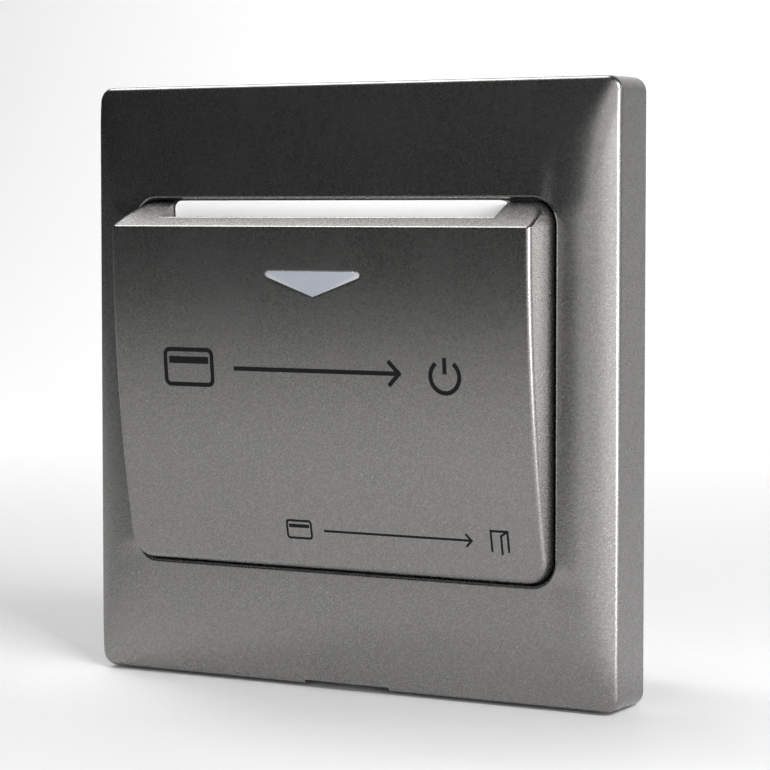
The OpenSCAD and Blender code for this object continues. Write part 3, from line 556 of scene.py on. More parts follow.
def arrow_loop(more):
    """Three arcs round the corners of a triangle that points down, read at even steps of length and turn.

    The walk starts at the middle of the top side and goes clockwise, seen from the room. A radian of turn
    counts as much as TURN_WEIGHT millimetres, so that the small corners get their share of the points.
    """
    half_w = ARROW_HALF_W - ARROW_R
    half_h = ARROW_HALF_H - ARROW_R
    radius = ARROW_R + more
    slant = np.degrees(np.arctan2(2 * half_h, half_w))
    sweeps = [(90, slant - 90), (slant - 90, -90 - slant), (270 - slant, 90)]
    corners = [(half_w, half_h), (0, -half_h), (-half_w, half_h)]
    middle_top = np.array([[0, half_h + radius]])
    walk = [middle_top]
    for (first, last), corner in zip(sweeps, corners):
        turn = np.radians(np.linspace(first, last, CORNER_POINTS))
        walk.append(np.array(corner) + radius * np.column_stack([np.cos(turn), np.sin(turn)]))
    walk = np.vstack(walk + [middle_top])
    step = np.hypot(*np.diff(walk, axis=0).T)
    bends = [np.full(CORNER_POINTS, abs(last - first) / CORNER_POINTS) for first, last in sweeps]
    bends = np.concatenate(bends + [[0]])
    measure = np.concatenate([[0], np.cumsum(step + TURN_WEIGHT * np.radians(bends))])
    even = np.linspace(0, measure[-1], OUTLINE_POINTS, endpoint=False)
    loop = np.column_stack([np.interp(even, measure, walk[:, 0]), np.interp(even, measure, walk[:, 1])])
    return loop + (0, ARROW_Z)


print("arrow outline", len(arrow_loop(0)), "points")

# %% Window border
def window_loop():
    """The rectangle's grid points in the same order, from the middle of its top side clockwise."""
    across = np.linspace(-WINDOW_HALF_W, WINDOW_HALF_W, WINDOW_COLUMNS + 1)
    up = np.linspace(*WINDOW_Z, WINDOW_ROWS + 1)
    half = WINDOW_COLUMNS // 2
    sides = [(across[half:-1], up[-1]), (across[-1], up[:0:-1]), (across[:0:-1], up[0]),
             (across[0], up[:-1]), (across[:half], up[-1])]
    return np.vstack([np.column_stack(np.broadcast_arrays(x, z)) for x, z in sides])


print("window border", len(window_loop()), "points")

# %% Window patch
WINDOW_ROLL = 0.07
FILL_LOOPS = 9
BACK_LOOPS = 5
SMALL_STEPS = 5
small_roll = np.radians(np.linspace(0, 90, SMALL_STEPS))


def window_patch():
    """Loops from the rectangle in to the triangle on the back, then over a rolled edge and out again."""
    outs = WINDOW_ROLL * (1 - np.cos(small_roll))
    drops = WINDOW_ROLL * (1 - np.sin(small_roll))
    border = window_loop()
    rolled = arrow_loop(WINDOW_ROLL)
    loops = [arrow_loop(out) for out in outs]
    loops += [rolled + (border - rolled) * share for share in np.linspace(0, 1, FILL_LOOPS + 1)[1:]]
    drops = np.concatenate([drops, np.zeros(FILL_LOOPS)])
    front = [np.column_stack([loop[:, 0], front_depth(loop[:, 1]) - drop, loop[:, 1]])
             for loop, drop in zip(loops, drops)]
    hole = loops[0]
    back = [hole + (border - hole) * share for share in np.linspace(1, 0, BACK_LOOPS)]
    back = [np.column_stack([loop[:, 0], lining_depth(loop[:, 1]), loop[:, 1]]) for loop in back]
    return np.array(back + front)


print("window patch", window_patch().shape)

# %% [markdown]
# ## The cover as one shell
# Now the two sheets, the walls and the window's patch are put into one table of points and one of
# faces. The walls need no case for each edge: a cell that is kept beside one that is not marks the edge
# between them.

# %% Cover piece
def cover_mesh():
    """Two sheets and the walls between them at every edge of the kept cells, with the window's patch."""
    front = np.stack([cover_x, cover_front(cover_x, cover_z), cover_z], axis=-1)
    back = np.stack([cover_x, cover_back(cover_x, cover_z), cover_z], axis=-1)
    count = cover_x.size
    numbers = np.arange(count).reshape(cover_x.shape)
    middle_x = (columns[:-1] + columns[1:])[:, None] / 2
    middle_z = (rows[:-1] + rows[1:])[None, :] / 2
    slot = (np.abs(middle_x) < SLOT_HALF_W) & (middle_z > SLOT_Z)
    window = (np.abs(middle_x) < WINDOW_HALF_W) & (middle_z > WINDOW_Z[0]) & (middle_z < WINDOW_Z[1])
    kept = ~(slot | window)
    sheet = grid_faces(*cover_x.shape)[kept.ravel()]
    framed = np.pad(~slot, 1)
    cut_x = framed[1:, 1:-1] ^ framed[:-1, 1:-1]
    cut_z = framed[1:-1, 1:] ^ framed[1:-1, :-1]
    upright = np.column_stack([numbers[:, :-1][cut_x], numbers[:, 1:][cut_x]])
    level = np.column_stack([numbers[:-1][cut_z], numbers[1:][cut_z]])
    edges = np.vstack([upright, level])
    walls = np.column_stack([edges, edges[:, ::-1] + count])
    patch = window_patch()
    patch_faces = grid_faces(*patch.shape[:2], close_columns=True) + 2 * count
    points = np.vstack([front.reshape(-1, 3), back.reshape(-1, 3), patch.reshape(-1, 3)])
    return points, np.vstack([sheet, sheet + count, walls, patch_faces])


cover = add_piece("pocket_cover", *cover_mesh(), "graphite_paint", ("card_cover",))

# %% [markdown]
# ## The lens
# The arrow's lens is a milky plug that fills the window flush, with a hair of a gap round it. An extruded
# triangle would be flat, but the face is curved, so every point of the lens takes its depth from the
# cover's section. Its loops shrink from the outline to one middle point, on the front and on the back,
# and the outermost ones roll over its edge.

# %% Lens piece
LENS_GAP = 0.02
LENS_ROLL = 0.1
LENS_LOOPS = 9
LENS_MIDDLE = (0.0, ARROW_Z + 0.4)


def lens_mesh():
    """Loops from the back's middle out to the rim, over its roll and in to the front's middle."""
    side = arrow_loop(-LENS_GAP)
    inner = arrow_loop(-LENS_GAP - LENS_ROLL)
    middle = np.array(LENS_MIDDLE)
    shrink = np.linspace(0, 1, LENS_LOOPS)[:, None, None]
    back = middle + (side - middle) * shrink
    rolled = np.array([arrow_loop(-LENS_GAP - LENS_ROLL * (1 - np.cos(turn))) for turn in small_roll])
    front = middle + (inner - middle) * shrink[::-1][1:]
    drops = np.concatenate([LENS_ROLL * (1 - np.sin(small_roll)), np.zeros(len(front))])
    outer = np.concatenate([rolled, front])
    front_d = front_depth(outer[..., 1]) - drops[:, None]
    depth = np.concatenate([lining_depth(back[..., 1]), front_d])
    loops = np.concatenate([back, outer])
    return np.stack([loops[..., 0], depth, loops[..., 1]], axis=-1)


lens_points = lens_mesh()
lens = add_piece("arrow_window_lens", lens_points.reshape(-1, 3),
                 grid_faces(*lens_points.shape[:2], close_columns=True), "milky_lens", ("arrow_lens",))

# %% [markdown]
# ## Return spring
# A small coil pushes the feeler forward. It stands between the feeler's arm and a shelf, so it shortens as
# the feeler swings. This one is wound anew from the packed node's box, as a tube along a helix.

# %% Spring piece
SPRING_TURNS = 6
SPRING_WIRE_R = 0.22
SPRING_RINGS = 24
SPRING_SIDES = 10


def spring_mesh(low, high):
    """Rings of a tube along a helix, each set square to the path, with a middle point at both ends."""
    middle = (low + high) / 2
    coil_r = (high[0] - low[0]) / 2 - SPRING_WIRE_R
    turn = np.linspace(0, 2 * np.pi * SPRING_TURNS, SPRING_TURNS * SPRING_RINGS + 1)
    rise = high[2] - low[2] - 2 * SPRING_WIRE_R
    out = np.column_stack([np.cos(turn), np.sin(turn), np.zeros(len(turn))])
    path = middle * (1, 1, 0) + coil_r * out
    path[:, 2] = low[2] + SPRING_WIRE_R + rise * turn / turn[-1]
    climb = np.arctan2(rise, coil_r * turn[-1])
    up = np.column_stack([np.sin(climb) * np.sin(turn), -np.sin(climb) * np.cos(turn),
                          np.full(len(turn), np.cos(climb))])
    around_wire = np.linspace(0, 2 * np.pi, SPRING_SIDES, endpoint=False)[:, None]
    ring = np.cos(around_wire) * out[:, None] + np.sin(around_wire) * up[:, None]
    tube = path[:, None] + SPRING_WIRE_R * ring
    first = np.broadcast_to(path[0], tube[:1].shape)
    last = np.broadcast_to(path[-1], tube[:1].shape)
    return np.concatenate([first, tube, last])


spring_low, spring_high = (np.array(corner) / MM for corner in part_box("lever_spring"))
spring_box = np.array([spring_low, spring_high]) * (1, -1, 1)
spring_points = spring_mesh(spring_box.min(axis=0), spring_box.max(axis=0))
spring = add_piece("return_spring", spring_points.reshape(-1, 3),
                   grid_faces(*spring_points.shape[:2], close_columns=True), "steel", ("lever_spring",))
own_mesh(spring)

# %% [markdown]
# ## Printed lines
# The cover's face carries a printed guide for the guest. A picture laid on the face could show it, but
# print has a little thickness, so each line is a flat strip: a path on the face is moved left and right
# by half the line's width, and lifted by the ink's thickness.

# %% Ink line
INK_LIFT = 0.02
INK_SINK = 0.06
ink_points = []
ink_faces = []


def ink_line(path, width, closed=False):
    """Strip along a path of x and z: mitred side offsets, lifted off the face, with its ends closed."""
    path = np.asarray(path, dtype=float)
    ahead = np.roll(path, -1, axis=0) - path
    behind = path - np.roll(path, 1, axis=0)
    if not closed:
        ahead[-1] = behind[-1]
        behind[0] = ahead[0]
    unit = [step / np.linalg.norm(step, axis=1, keepdims=True) for step in (ahead, behind)]
    mean = unit[0] + unit[1]
    mean /= np.linalg.norm(mean, axis=1, keepdims=True)
    widen = width / 2 / np.sum(mean * unit[0], axis=1, keepdims=True)
    aside = np.column_stack([-mean[:, 1], mean[:, 0]]) * widen
    left = path + aside
    right = path - aside
    section = np.stack([left, left, right, right], axis=1)
    lift = np.array([-INK_SINK, INK_LIFT, INK_LIFT, -INK_SINK])
    depth = front_depth(section[..., 1]) + lift
    points = np.stack([section[..., 0], depth, section[..., 1]], axis=-1)
    first = sum(len(made) for made in ink_points)
    faces = grid_faces(len(path), 4, close_rows=closed, close_columns=True)
    if not closed:
        ends = np.array([[0, 1, 2, 3], [3, 2, 1, 0]])
        ends[1] += 4 * (len(path) - 1)
        faces = np.vstack([faces, ends])
    ink_points.append(points.reshape(-1, 3))
    ink_faces.append(faces + first)


print("ink stands", INK_LIFT, "mm off the face")

# %% [markdown]
# ## Pictograms
# The guide is two rows of plain pictograms: a card that goes in for power, bold, and a card that leaves
# by the door, thin. Each sign is a few ink lines, with its inner sizes as shares of its own height,
# width or radius, so the same function draws both sizes.

# %% Pictogram signs
CARD_ROUND = 0.16
CARD_STRIPE = 0.2
SHAFT_SHORT = 0.6
RING_FROM_TO = (128, 412)
RING_POINTS = 48
BAR_FROM_TO = (0.15, 1.15)
LEAF_X = 0.1
LEAF_FOOT = 0.62
LEAF_TOP = 0.28


def card_sign(x, z, w, h, width):
    """Outline of a card with rounded corners, and its stripe as a thicker line."""
    outline = corner_arcs(w / 2, h / 2, h * CARD_ROUND, QUARTER_STEPS)
    ink_line(outline.reshape(-1, 2) + (x, z), width, closed=True)
    stripe = h * CARD_STRIPE
    ink_line([(x - w / 2 + width, z + stripe), (x + w / 2 - width, z + stripe)], stripe)


def arrow_sign(x0, x1, z, head, width):
    """Straight shaft with an open head at its right end."""
    ink_line([(x0, z), (x1 - width * SHAFT_SHORT, z)], width)
    ink_line([(x1 - head, z + head), (x1, z), (x1 - head, z - head)], width)


def power_sign(x, z, radius, width):
    """Ring that is open at the top, with a short bar through the gap."""
    turn = np.radians(np.linspace(*RING_FROM_TO, RING_POINTS))
    ink_line(np.column_stack([x + radius * np.cos(turn), z + radius * np.sin(turn)]), width)
    ink_line([(x, z + radius * share) for share in BAR_FROM_TO], width)


def door_sign(x, z, w, h, width):
    """Door frame that is open at the bottom, with a leaf that stands ajar."""
    left, right = x - w / 2, x + w / 2
    foot, top = z - h / 2, z + h / 2
    ink_line([(left, foot), (left, top), (right, top), (right, foot)], width)
    leaf_x = x + w * LEAF_X
    ink_line([(leaf_x, z - h * LEAF_FOOT), (leaf_x, z + h * LEAF_TOP), (right, top)], width)


print("signs", [sign.__name__ for sign in (card_sign, arrow_sign, power_sign, door_sign)])

# %% Pictogram piece
BOLD = 0.62
THIN = 0.32
INK_SHARP_DEG = 30
card_sign(x=-21.3, z=2.6, w=8.0, h=5.0, width=BOLD)
arrow_sign(x0=-13.6, x1=13.6, z=2.6, head=1.7, width=BOLD)
power_sign(x=20.8, z=2.4, radius=2.25, width=BOLD)
card_sign(x=-4.7, z=-20.1, w=4.0, h=2.5, width=THIN)
arrow_sign(x0=-0.6, x1=23.2, z=-20.1, head=0.9, width=THIN)
door_sign(x=27.6, z=-20.0, w=2.6, h=2.9, width=THIN)
ink = add_piece("guide_pictograms", np.vstack(ink_points), np.vstack(ink_faces), "black_plastic",
                sharp=INK_SHARP_DEG)

# %% [markdown]
# ## Writing shaders as sums
# A material is a graph of nodes. It could be linked one socket at a time, but then a formula drowns in
# links. One small class wraps a socket, so that a sum of two wires adds a Math node and any other node
# comes from one method: its settings first, then what goes into its sockets.

# %% Wires
class Wire:
    """A socket of a node tree, with arithmetic."""

    def __init__(self, tree, socket=None):
        self.tree = tree
        self.socket = socket

    def node(self, kind, settings=None, inputs=None, output=0):
        """Add a node: first its settings, such as a Math node's operation, then socket values or links."""
        made = self.tree.nodes.new(kind)
        for name, value in (settings or {}).items():
            setattr(made, name, value)
        for name, value in (inputs or {}).items():
            if isinstance(value, Wire):
                self.tree.links.new(value.socket, made.inputs[name])
            else:
                made.inputs[name].default_value = value
        return Wire(self.tree, made.outputs[output])

    def math(self, operation, left, right=0.0):
        """Add a Math node on values or wires."""
        return self.node("ShaderNodeMath", {"operation": operation}, {0: left, 1: right})

    # Each operator adds one Math node, and the reflected forms take a number on the left.
    def __add__(self, other):
        return self.math("ADD", self, other)

    def __sub__(self, other):
        return self.math("SUBTRACT", self, other)

    def __rsub__(self, other):
        return self.math("SUBTRACT", other, self)

    def __mul__(self, other):
        return self.math("MULTIPLY", self, other)

    def __pow__(self, other):
        return self.math("POWER", self, other)

    __radd__ = __add__
    __rmul__ = __mul__


print("a wire can do", [name for name, made in vars(Wire).items() if callable(made)])

# %% [markdown]
# ## Common nodes
# Most finishes need the same few things: a cloud, flecks, a blend of two colours and a bump. Each is a
# function of wires here, and one more puts a finish together. What varies over the surface is linked,
# and what is the same all over is set on the shader's own socket.

# %% Shader helpers
def noise(place, scale, detail=2.0, roughness=0.5):
    """Cloudy value from 0 to 1, about 1/scale metres across."""
    inputs = {"Vector": place, "Scale": scale, "Detail": detail, "Roughness": roughness}
    return place.node("ShaderNodeTexNoise", None, inputs, "Fac")


def flecks(place, scale):
    """One random value for each of the small cells that fill the surface."""
    cells = place.node("ShaderNodeTexVoronoi", None, {"Vector": place, "Scale": scale}, "Color")
    return cells.node("ShaderNodeSeparateColor", None, {"Color": cells}, 0)


def blend(share, first, second):
    """Colour between two colours, or colour wires."""
    inputs = {0: share, 6: first, 7: second}
    return share.node("ShaderNodeMix", {"data_type": "RGBA"}, inputs, 2)


def bump(height, distance, strength):
    """Normal of a surface that is raised by a height from 0 to 1, times a distance in metres."""
    inputs = {"Strength": strength, "Distance": distance, "Height": height}
    return height.node("ShaderNodeBump", None, inputs)


def rgb(*shade):
    """A colour with full cover, as sockets want it."""
    return (*shade, 1.0)


def finish(name, look, **constants):
    """A Principled material: look(place) gives the wires of what varies, sockets are set to the rest."""
    material = bpy.data.materials.new(name)
    material.use_nodes = True
    tree = material.node_tree
    shader = tree.nodes["Principled BSDF"]
    place = Wire(tree).node("ShaderNodeTexCoord", None, None, "Object")
    for socket, wire in look(place).items():
        tree.links.new(wire.socket, shader.inputs[socket])
    for socket, value in constants.items():
        shader.inputs[socket.replace("_", " ")].default_value = value
    print("finish", name, "has", len(tree.nodes), "nodes")
    return material


print("shader helpers", [helper.__name__ for helper in (noise, flecks, blend, bump, rgb, finish)])

# %% [markdown]
# ## Graphite paint
# The plate and the cover are plastic, sprayed with a graphite paint that holds fine metal flake. Seen
# close it sparkles in cells a fifth of a millimetre wide. A picture of flake could be tiled over it, but
# cells that the shader works out have no seam and no repeat. A Voronoi cell's random value lightens the
# colour and dulls the gloss a little, and the few highest values are the sparks. A fine noise dimples
# the surface, and a slow cloud changes the sheen as a sprayed coat does.

# %% Graphite
FLAKES = 5200.0
FLAKE_PART = 0.75
SPARK_SHARE = 0.0015
COAT_CLOUDS = 90.0
COAT_ROUGH = 0.24
CLOUD_DULLS = 0.05
FLAKE_DULLS = 0.03
COAT_METAL = 0.97
DIMPLES = 3500.0
DIMPLE_DEPTH = 0.000004
COAT_DARK = rgb(0.220, 0.216, 0.211)
COAT_PALE = rgb(0.310, 0.303, 0.297)
SPARK = rgb(0.37, 0.363, 0.357)


def graphite_look(place):
    """Squared cell values, so that pale flakes are few, mixed with the cloud, and sparks on top."""
    fleck = flecks(place, FLAKES)
    cloud = noise(place, COAT_CLOUDS, detail=3.0)
    shade = fleck ** 2.0 * FLAKE_PART + cloud * (1 - FLAKE_PART)
    spark = place.math("GREATER_THAN", fleck, 1 - SPARK_SHARE)
    coat = blend(shade, COAT_DARK, COAT_PALE)
    return {
        "Base Color": blend(spark, coat, SPARK),
        "Roughness": cloud * CLOUD_DULLS + fleck * FLAKE_DULLS + COAT_ROUGH,
        "Normal": bump(noise(place, DIMPLES), DIMPLE_DEPTH, strength=0.45),
    }


graphite = finish("graphite_flake_paint", graphite_look, Metallic=COAT_METAL)
for piece in (plate, cover):
    piece.data.materials.append(graphite)

# %% [markdown]
# ## Milky lens
# The arrow is a milky plastic, which reads as a pale blue grey. Where it is thin, light scattered through
# it makes a lighter rim, and that rim is painted light in the colour. Scattering could be traced through
# it, but on so small a plug a cloud of two shades looks the same.
# The rim is found from the outline itself: the least distance to the triangle's three sides.

# %% Milky lens
LENS_RIM = 0.00022
LENS_CORNER = 0.00025
RIM_SOFT = 0.3
ACRYLIC_IOR = 1.49
# The rim's paler colour is painted light: it stands for light scattered through the lens's thin edge.
RIM_PAINTED_LIGHT = rgb(0.388, 0.394, 0.405)
MILK_DEEP = rgb(0.262, 0.285, 0.33)
MILK_PALE = rgb(0.32, 0.337, 0.377)
MILK_CLOUDS = 260.0
LENS_ROUGH = 0.30
MILK_DULLS = 0.1
LENS_GRAIN = 900.0
LENS_GRAIN_DEPTH = 0.00002


def axes(place):
    """The x, y and z of a place, each as a wire."""
    return [place.node("ShaderNodeSeparateXYZ", None, {"Vector": place}, axis) for axis in "XYZ"]


def lens_look(place):
    """Distance to the triangle's sides, in metres, fades the rim's painted light into the milky middle."""
    x, _, z = axes(place)
    slant = np.arctan2(2 * ARROW_HALF_H, ARROW_HALF_W)
    under_top = (ARROW_Z + ARROW_HALF_H) * MM - z
    above_tip = z - (ARROW_Z - ARROW_HALF_H) * MM
    off_side = above_tip * np.cos(slant) - x.math("ABSOLUTE", x) * np.sin(slant) + LENS_CORNER
    rim = x.math("MINIMUM", under_top, off_side) * (1 / LENS_RIM)
    inside = x.node("ShaderNodeMath", {"operation": "SMOOTH_MIN"}, {0: rim, 1: 1.0, 2: RIM_SOFT})
    milk = noise(place, MILK_CLOUDS, detail=3.0)
    body = blend(milk, MILK_DEEP, MILK_PALE)
    return {
        "Base Color": blend(inside, RIM_PAINTED_LIGHT, body),
        "Roughness": milk * MILK_DULLS + LENS_ROUGH,
        "Normal": bump(noise(place, LENS_GRAIN), LENS_GRAIN_DEPTH, strength=0.2),
    }


lens.data.materials.append(finish("milky_lens", lens_look, IOR=ACRYLIC_IOR))

# %% [markdown]
# ## Screen ink
# The guide is a matt black screen print. A flat black would do from afar. Seen close, the ink is a
# little uneven where the screen's mesh let it through, so one fine noise changes its colour, its gloss
# and its height.

# %% Screen ink
INK_ROUGH = 0.62
INK_MESH = 5200.0
INK_MESH_DEPTH = 0.00001
MESH_DULLS = 0.15
INK_DARK = rgb(0.005, 0.005, 0.005)
INK_PALE = rgb(0.010, 0.010, 0.010)


def ink_look(place):
    """The screen's mesh, as a fine noise, in colour, gloss and height at once."""
    mesh = noise(place, INK_MESH, detail=1.0)
    return {
        "Base Color": blend(mesh, INK_DARK, INK_PALE),
        "Roughness": mesh * MESH_DULLS + INK_ROUGH,
        "Normal": bump(mesh, INK_MESH_DEPTH, strength=0.4),
    }


ink.data.materials.append(finish("screen_ink", ink_look, Specular_IOR_Level=0.1))

# %% [markdown]
# ## Moulded plastics
# The base, the housing, the feeler and the small cases are moulded plastics. One flat colour for each
# would look lifeless beside the paint, because injection moulding leaves two marks. The cavity is spark
# eroded, which prints a fine grain on the surface, and the melt's flow leaves broad, faint clouds in
# colour and gloss. White gloss parts come from a polished cavity, so they keep the clouds and all but
# lose the grain.

# %% Moulded plastics
FLOW_CLOUDS = 45.0
PALE_GAIN = 1.12
PALE_LIFT = 0.012
FLOW_PART = 0.6
FLOW_DULLS = 0.08
GRAIN_DULLS = 0.10


def moulded_look(colour, rough, grains, depth):
    """Spark grain, as grains per metre and a depth in metres, under slow clouds of colour and gloss."""
    pale = rgb(*(min(1.0, PALE_GAIN * part + PALE_LIFT) for part in colour))
    least_rough = rough - (FLOW_DULLS + GRAIN_DULLS) / 2

    def look(place):
        """Cloud and grain are mixed for the colour and added up for the gloss, and grain alone dents."""
        cloud = noise(place, FLOW_CLOUDS, detail=3.0)
        grain = noise(place, grains, detail=2.0, roughness=0.6)
        return {
            "Base Color": blend(cloud * FLOW_PART + grain * (1 - FLOW_PART), rgb(*colour), pale),
            "Roughness": cloud * FLOW_DULLS + grain * GRAIN_DULLS + least_rough,
            "Normal": bump(grain, depth, strength=0.6),
        }

    return look


MOULDED = {
    "white_gloss": dict(colour=(0.90, 0.90, 0.89), rough=0.16, grains=600.0, depth=0.000006),
    "white_matte": dict(colour=(0.74, 0.74, 0.72), rough=0.45, grains=2600.0, depth=0.00003),
    "black_plastic": dict(colour=(0.022, 0.022, 0.023), rough=0.52, grains=2200.0, depth=0.00004),
    "grey_plastic": dict(colour=(0.17, 0.17, 0.18), rough=0.48, grains=2400.0, depth=0.00004),
    "plunger_red": dict(colour=(0.42, 0.045, 0.04), rough=0.28, grains=2000.0, depth=0.00001),
    "relay_blue": dict(colour=(0.045, 0.125, 0.40), rough=0.24, grains=900.0, depth=0.00001),
}
SLOT_FINISH = {slot: finish(slot, moulded_look(**row)) for slot, row in MOULDED.items()}
acrylic_look = moulded_look(colour=(0.78, 0.84, 0.90), rough=0.1, grains=500.0, depth=0.000004)
SLOT_FINISH["clear_acrylic"] = finish("clear_acrylic", acrylic_look, Transmission_Weight=0.6,
                                      IOR=ACRYLIC_IOR)
print("moulded", list(SLOT_FINISH))

# %% [markdown]
# ## Metals
# The screws, the pin and the spring are plated steel, and the clamps and the switch's legs are brass.
# Drawing and turning leave streaks that run one way. The shader's anisotropic setting could bend the
# highlights as streaks do, but the export doesn't bake it, so a cloud is stretched along one axis. The
# streaks carry the gloss, and a slower cloud tarnishes the colour.

# %% Metals
STREAKS = 5200.0
STREAK_DEPTH = 0.000006
STAINS = 320.0
STREAK_DULLS = 0.22
STAIN_DULLS = 0.08
DRAWN_Y = (1.0, 0.06, 1.0)
DRAWN_X = (0.06, 1.0, 1.0)


def drawn_look(colour, tarnish, rough, stretch):
    """Streaks from a cloud whose place is squeezed along the drawn axis."""

    def look(place):
        """The stain's square tarnishes the colour, streak and stain dull the gloss, and streaks dent."""
        along = place.node("ShaderNodeMapping", None, {"Vector": place, "Scale": stretch})
        streak = noise(along, STREAKS, detail=3.0, roughness=0.65)
        stain = noise(place, STAINS, detail=4.0)
        return {
            "Base Color": blend(stain ** 2.0, rgb(*colour), rgb(*tarnish)),
            "Roughness": streak * STREAK_DULLS + stain * STAIN_DULLS + rough,
            "Normal": bump(streak, STREAK_DEPTH, strength=0.35),
        }

    return look


steel_look = drawn_look(colour=(0.62, 0.62, 0.63), tarnish=(0.50, 0.50, 0.52), rough=0.16, stretch=DRAWN_Y)
brass_look = drawn_look(colour=(0.75, 0.57, 0.25), tarnish=(0.55, 0.38, 0.15), rough=0.2, stretch=DRAWN_X)
SLOT_FINISH["steel"] = finish("plated_steel", steel_look, Metallic=1.0)
SLOT_FINISH["brass"] = finish("clamp_brass", brass_look, Metallic=1.0)

# %% [markdown]
# ## Circuit board
# The board is glass cloth under green solder mask: the copper tracks stand a little proud and show as
# paler lines. Tracks could be drawn one by one, but the borders of large cells branch as tracks do.

# %% Circuit board
TRACK_SCALE = 420.0
TRACK_EDGE = (0.06, 0.1)
TRACK_HEIGHT = 0.00003
CLOTH_WEAVE = 3800.0
MASK_ROUGH = 0.26
WEAVE_DULLS = 0.12
MASK_DARK = rgb(0.016, 0.125, 0.045)
MASK_PALE = rgb(0.022, 0.16, 0.06)
TRACK_GREEN = rgb(0.06, 0.27, 0.10)


def board_look(place):
    """Distance to the edges of large cells gives the tracks, and a fine weave shows through the mask."""
    cells = {"Vector": place, "Scale": TRACK_SCALE}
    edge = place.node("ShaderNodeTexVoronoi", {"feature": "DISTANCE_TO_EDGE"}, cells, "Distance")
    copper, bare = TRACK_EDGE
    fade = {"Value": edge, "From Min": copper, "From Max": bare, "To Min": 1.0, "To Max": 0.0}
    track = edge.node("ShaderNodeMapRange", None, fade)
    weave = noise(place, CLOTH_WEAVE, detail=1.0)
    mask = blend(weave, MASK_DARK, MASK_PALE)
    return {
        "Base Color": blend(track, mask, TRACK_GREEN),
        "Roughness": weave * WEAVE_DULLS + MASK_ROUGH,
        "Normal": bump(track, TRACK_HEIGHT, strength=0.5),
    }


SLOT_FINISH["board_green"] = finish("solder_mask", board_look)

# %% [markdown]
# ## Dipped parts
# Capacitors and the varistor are dipped or sleeved, and such a coat sets in soft waves. A displaced mesh
# could carry them, but waves a tenth of a millimetre high show only in the highlights, so a bump is
# enough.

# %% Dipped parts
DIP_WAVES = 380.0
DIP_DEPTH = 0.00012
DIP_DEEP = 0.7
POOL_DULLS = 0.1


def dipped_look(colour, rough):
    """Lacquer that pooled as it dried: broad waves in the surface and thicker colour in the dips."""
    deep = rgb(*(DIP_DEEP * part for part in colour))

    def look(place):
        """One cloud gives the colour's depth, the gloss and the waves."""
        pool = noise(place, DIP_WAVES)
        return {
            "Base Color": blend(pool, deep, rgb(*colour)),
            "Roughness": pool * POOL_DULLS + rough,
            "Normal": bump(pool, DIP_DEPTH, strength=0.4),
        }

    return look


DIPPED = {
    "film_yellow": dict(colour=(0.70, 0.50, 0.08), rough=0.22),
    "sleeve_navy": dict(colour=(0.03, 0.04, 0.12), rough=0.24),
    "disc_blue": dict(colour=(0.08, 0.20, 0.42), rough=0.2),
}
for slot, row in DIPPED.items():
    SLOT_FINISH[slot] = finish(slot, dipped_look(**row))

# %% [markdown]
# ## Resistors
# A resistor's value is painted on its tan lacquer as rings. They could be rings of mesh, but paint has
# no height that would show, so the place along the body switches the colour.

# %% Resistor rings
BAND_STEP = 0.0011
BAND_OFFSET = 40.0
BAND_PLAIN = 0.62
BAND_WAVES = 700.0
TAN_ROUGH = 0.24
TAN_DULLS = 0.12
TAN_DARK = rgb(0.46, 0.33, 0.19)
TAN_PALE = rgb(0.60, 0.45, 0.28)
BAND_BROWN = rgb(0.20, 0.06, 0.03)


def banded_look(place):
    """Lacquer with painted rings: the place along the body, counted in steps, switches the colour."""
    x = axes(place)[0]
    ring = x.math("FRACT", x * (1 / BAND_STEP) + BAND_OFFSET)
    painted = x.math("GREATER_THAN", ring, BAND_PLAIN)
    pool = noise(place, BAND_WAVES)
    return {
        "Base Color": blend(painted, blend(pool, TAN_DARK, TAN_PALE), BAND_BROWN),
        "Roughness": pool * TAN_DULLS + TAN_ROUGH,
    }


SLOT_FINISH["resistor_tan"] = finish("resistor_tan", banded_look)

# %% [markdown]
# ## Finishes on the packed nodes
# The packed record names a slot for each node, so one walk over it gives every node its finish. A node
# that a piece above replaces gets one as well, which costs nothing.

# %% Node finishes
SLOT_FINISH["graphite_paint"] = graphite
SLOT_FINISH["milky_lens"] = bpy.data.materials["milky_lens"]
for row in frame["record"]["subparts"]:
    node_mesh = frame["nodes"][row["node"]].data
    node_mesh.materials.clear()
    node_mesh.materials.append(SLOT_FINISH[row["material_slot"]])
spring.data.materials.append(SLOT_FINISH["steel"])

# %% [markdown]
# ## Moulded edges
# No moulding has a knife edge: the cavity's corners are rounded by the cutter, and the edge catches a
# line of light. The housing shows this most. Its packed mesh is loose triangles and is left alone, so a
# weld modifier joins them first and a bevel modifier then rounds the edges.

# %% Edge rounding
WELD_WITHIN = 0.000001
ROUND_R = 0.0005
ROUND_STEPS = 3
ROUND_FROM_DEG = 50
housing = frame["nodes"]["rear_housing"]
housing.modifiers.new("weld", "WELD").merge_threshold = WELD_WITHIN
rounding = housing.modifiers.new("rounding", "BEVEL")
rounding.width = ROUND_R
rounding.segments = ROUND_STEPS
rounding.limit_method = "ANGLE"
rounding.angle_limit = np.radians(ROUND_FROM_DEG)
rounding.use_clamp_overlap = False
rounding.harden_normals = True
print("rounded", housing.name, "by", ROUND_R, "m")

# %% [markdown]
# ## Camera
# The view is from the right and a little above, through a long lens, which keeps the plate's edges
# almost parallel. Place, aim and focal length could be set by eye. Here they were fitted, so that the
# corners of a plate 86 mm wide fall where the picture has them.

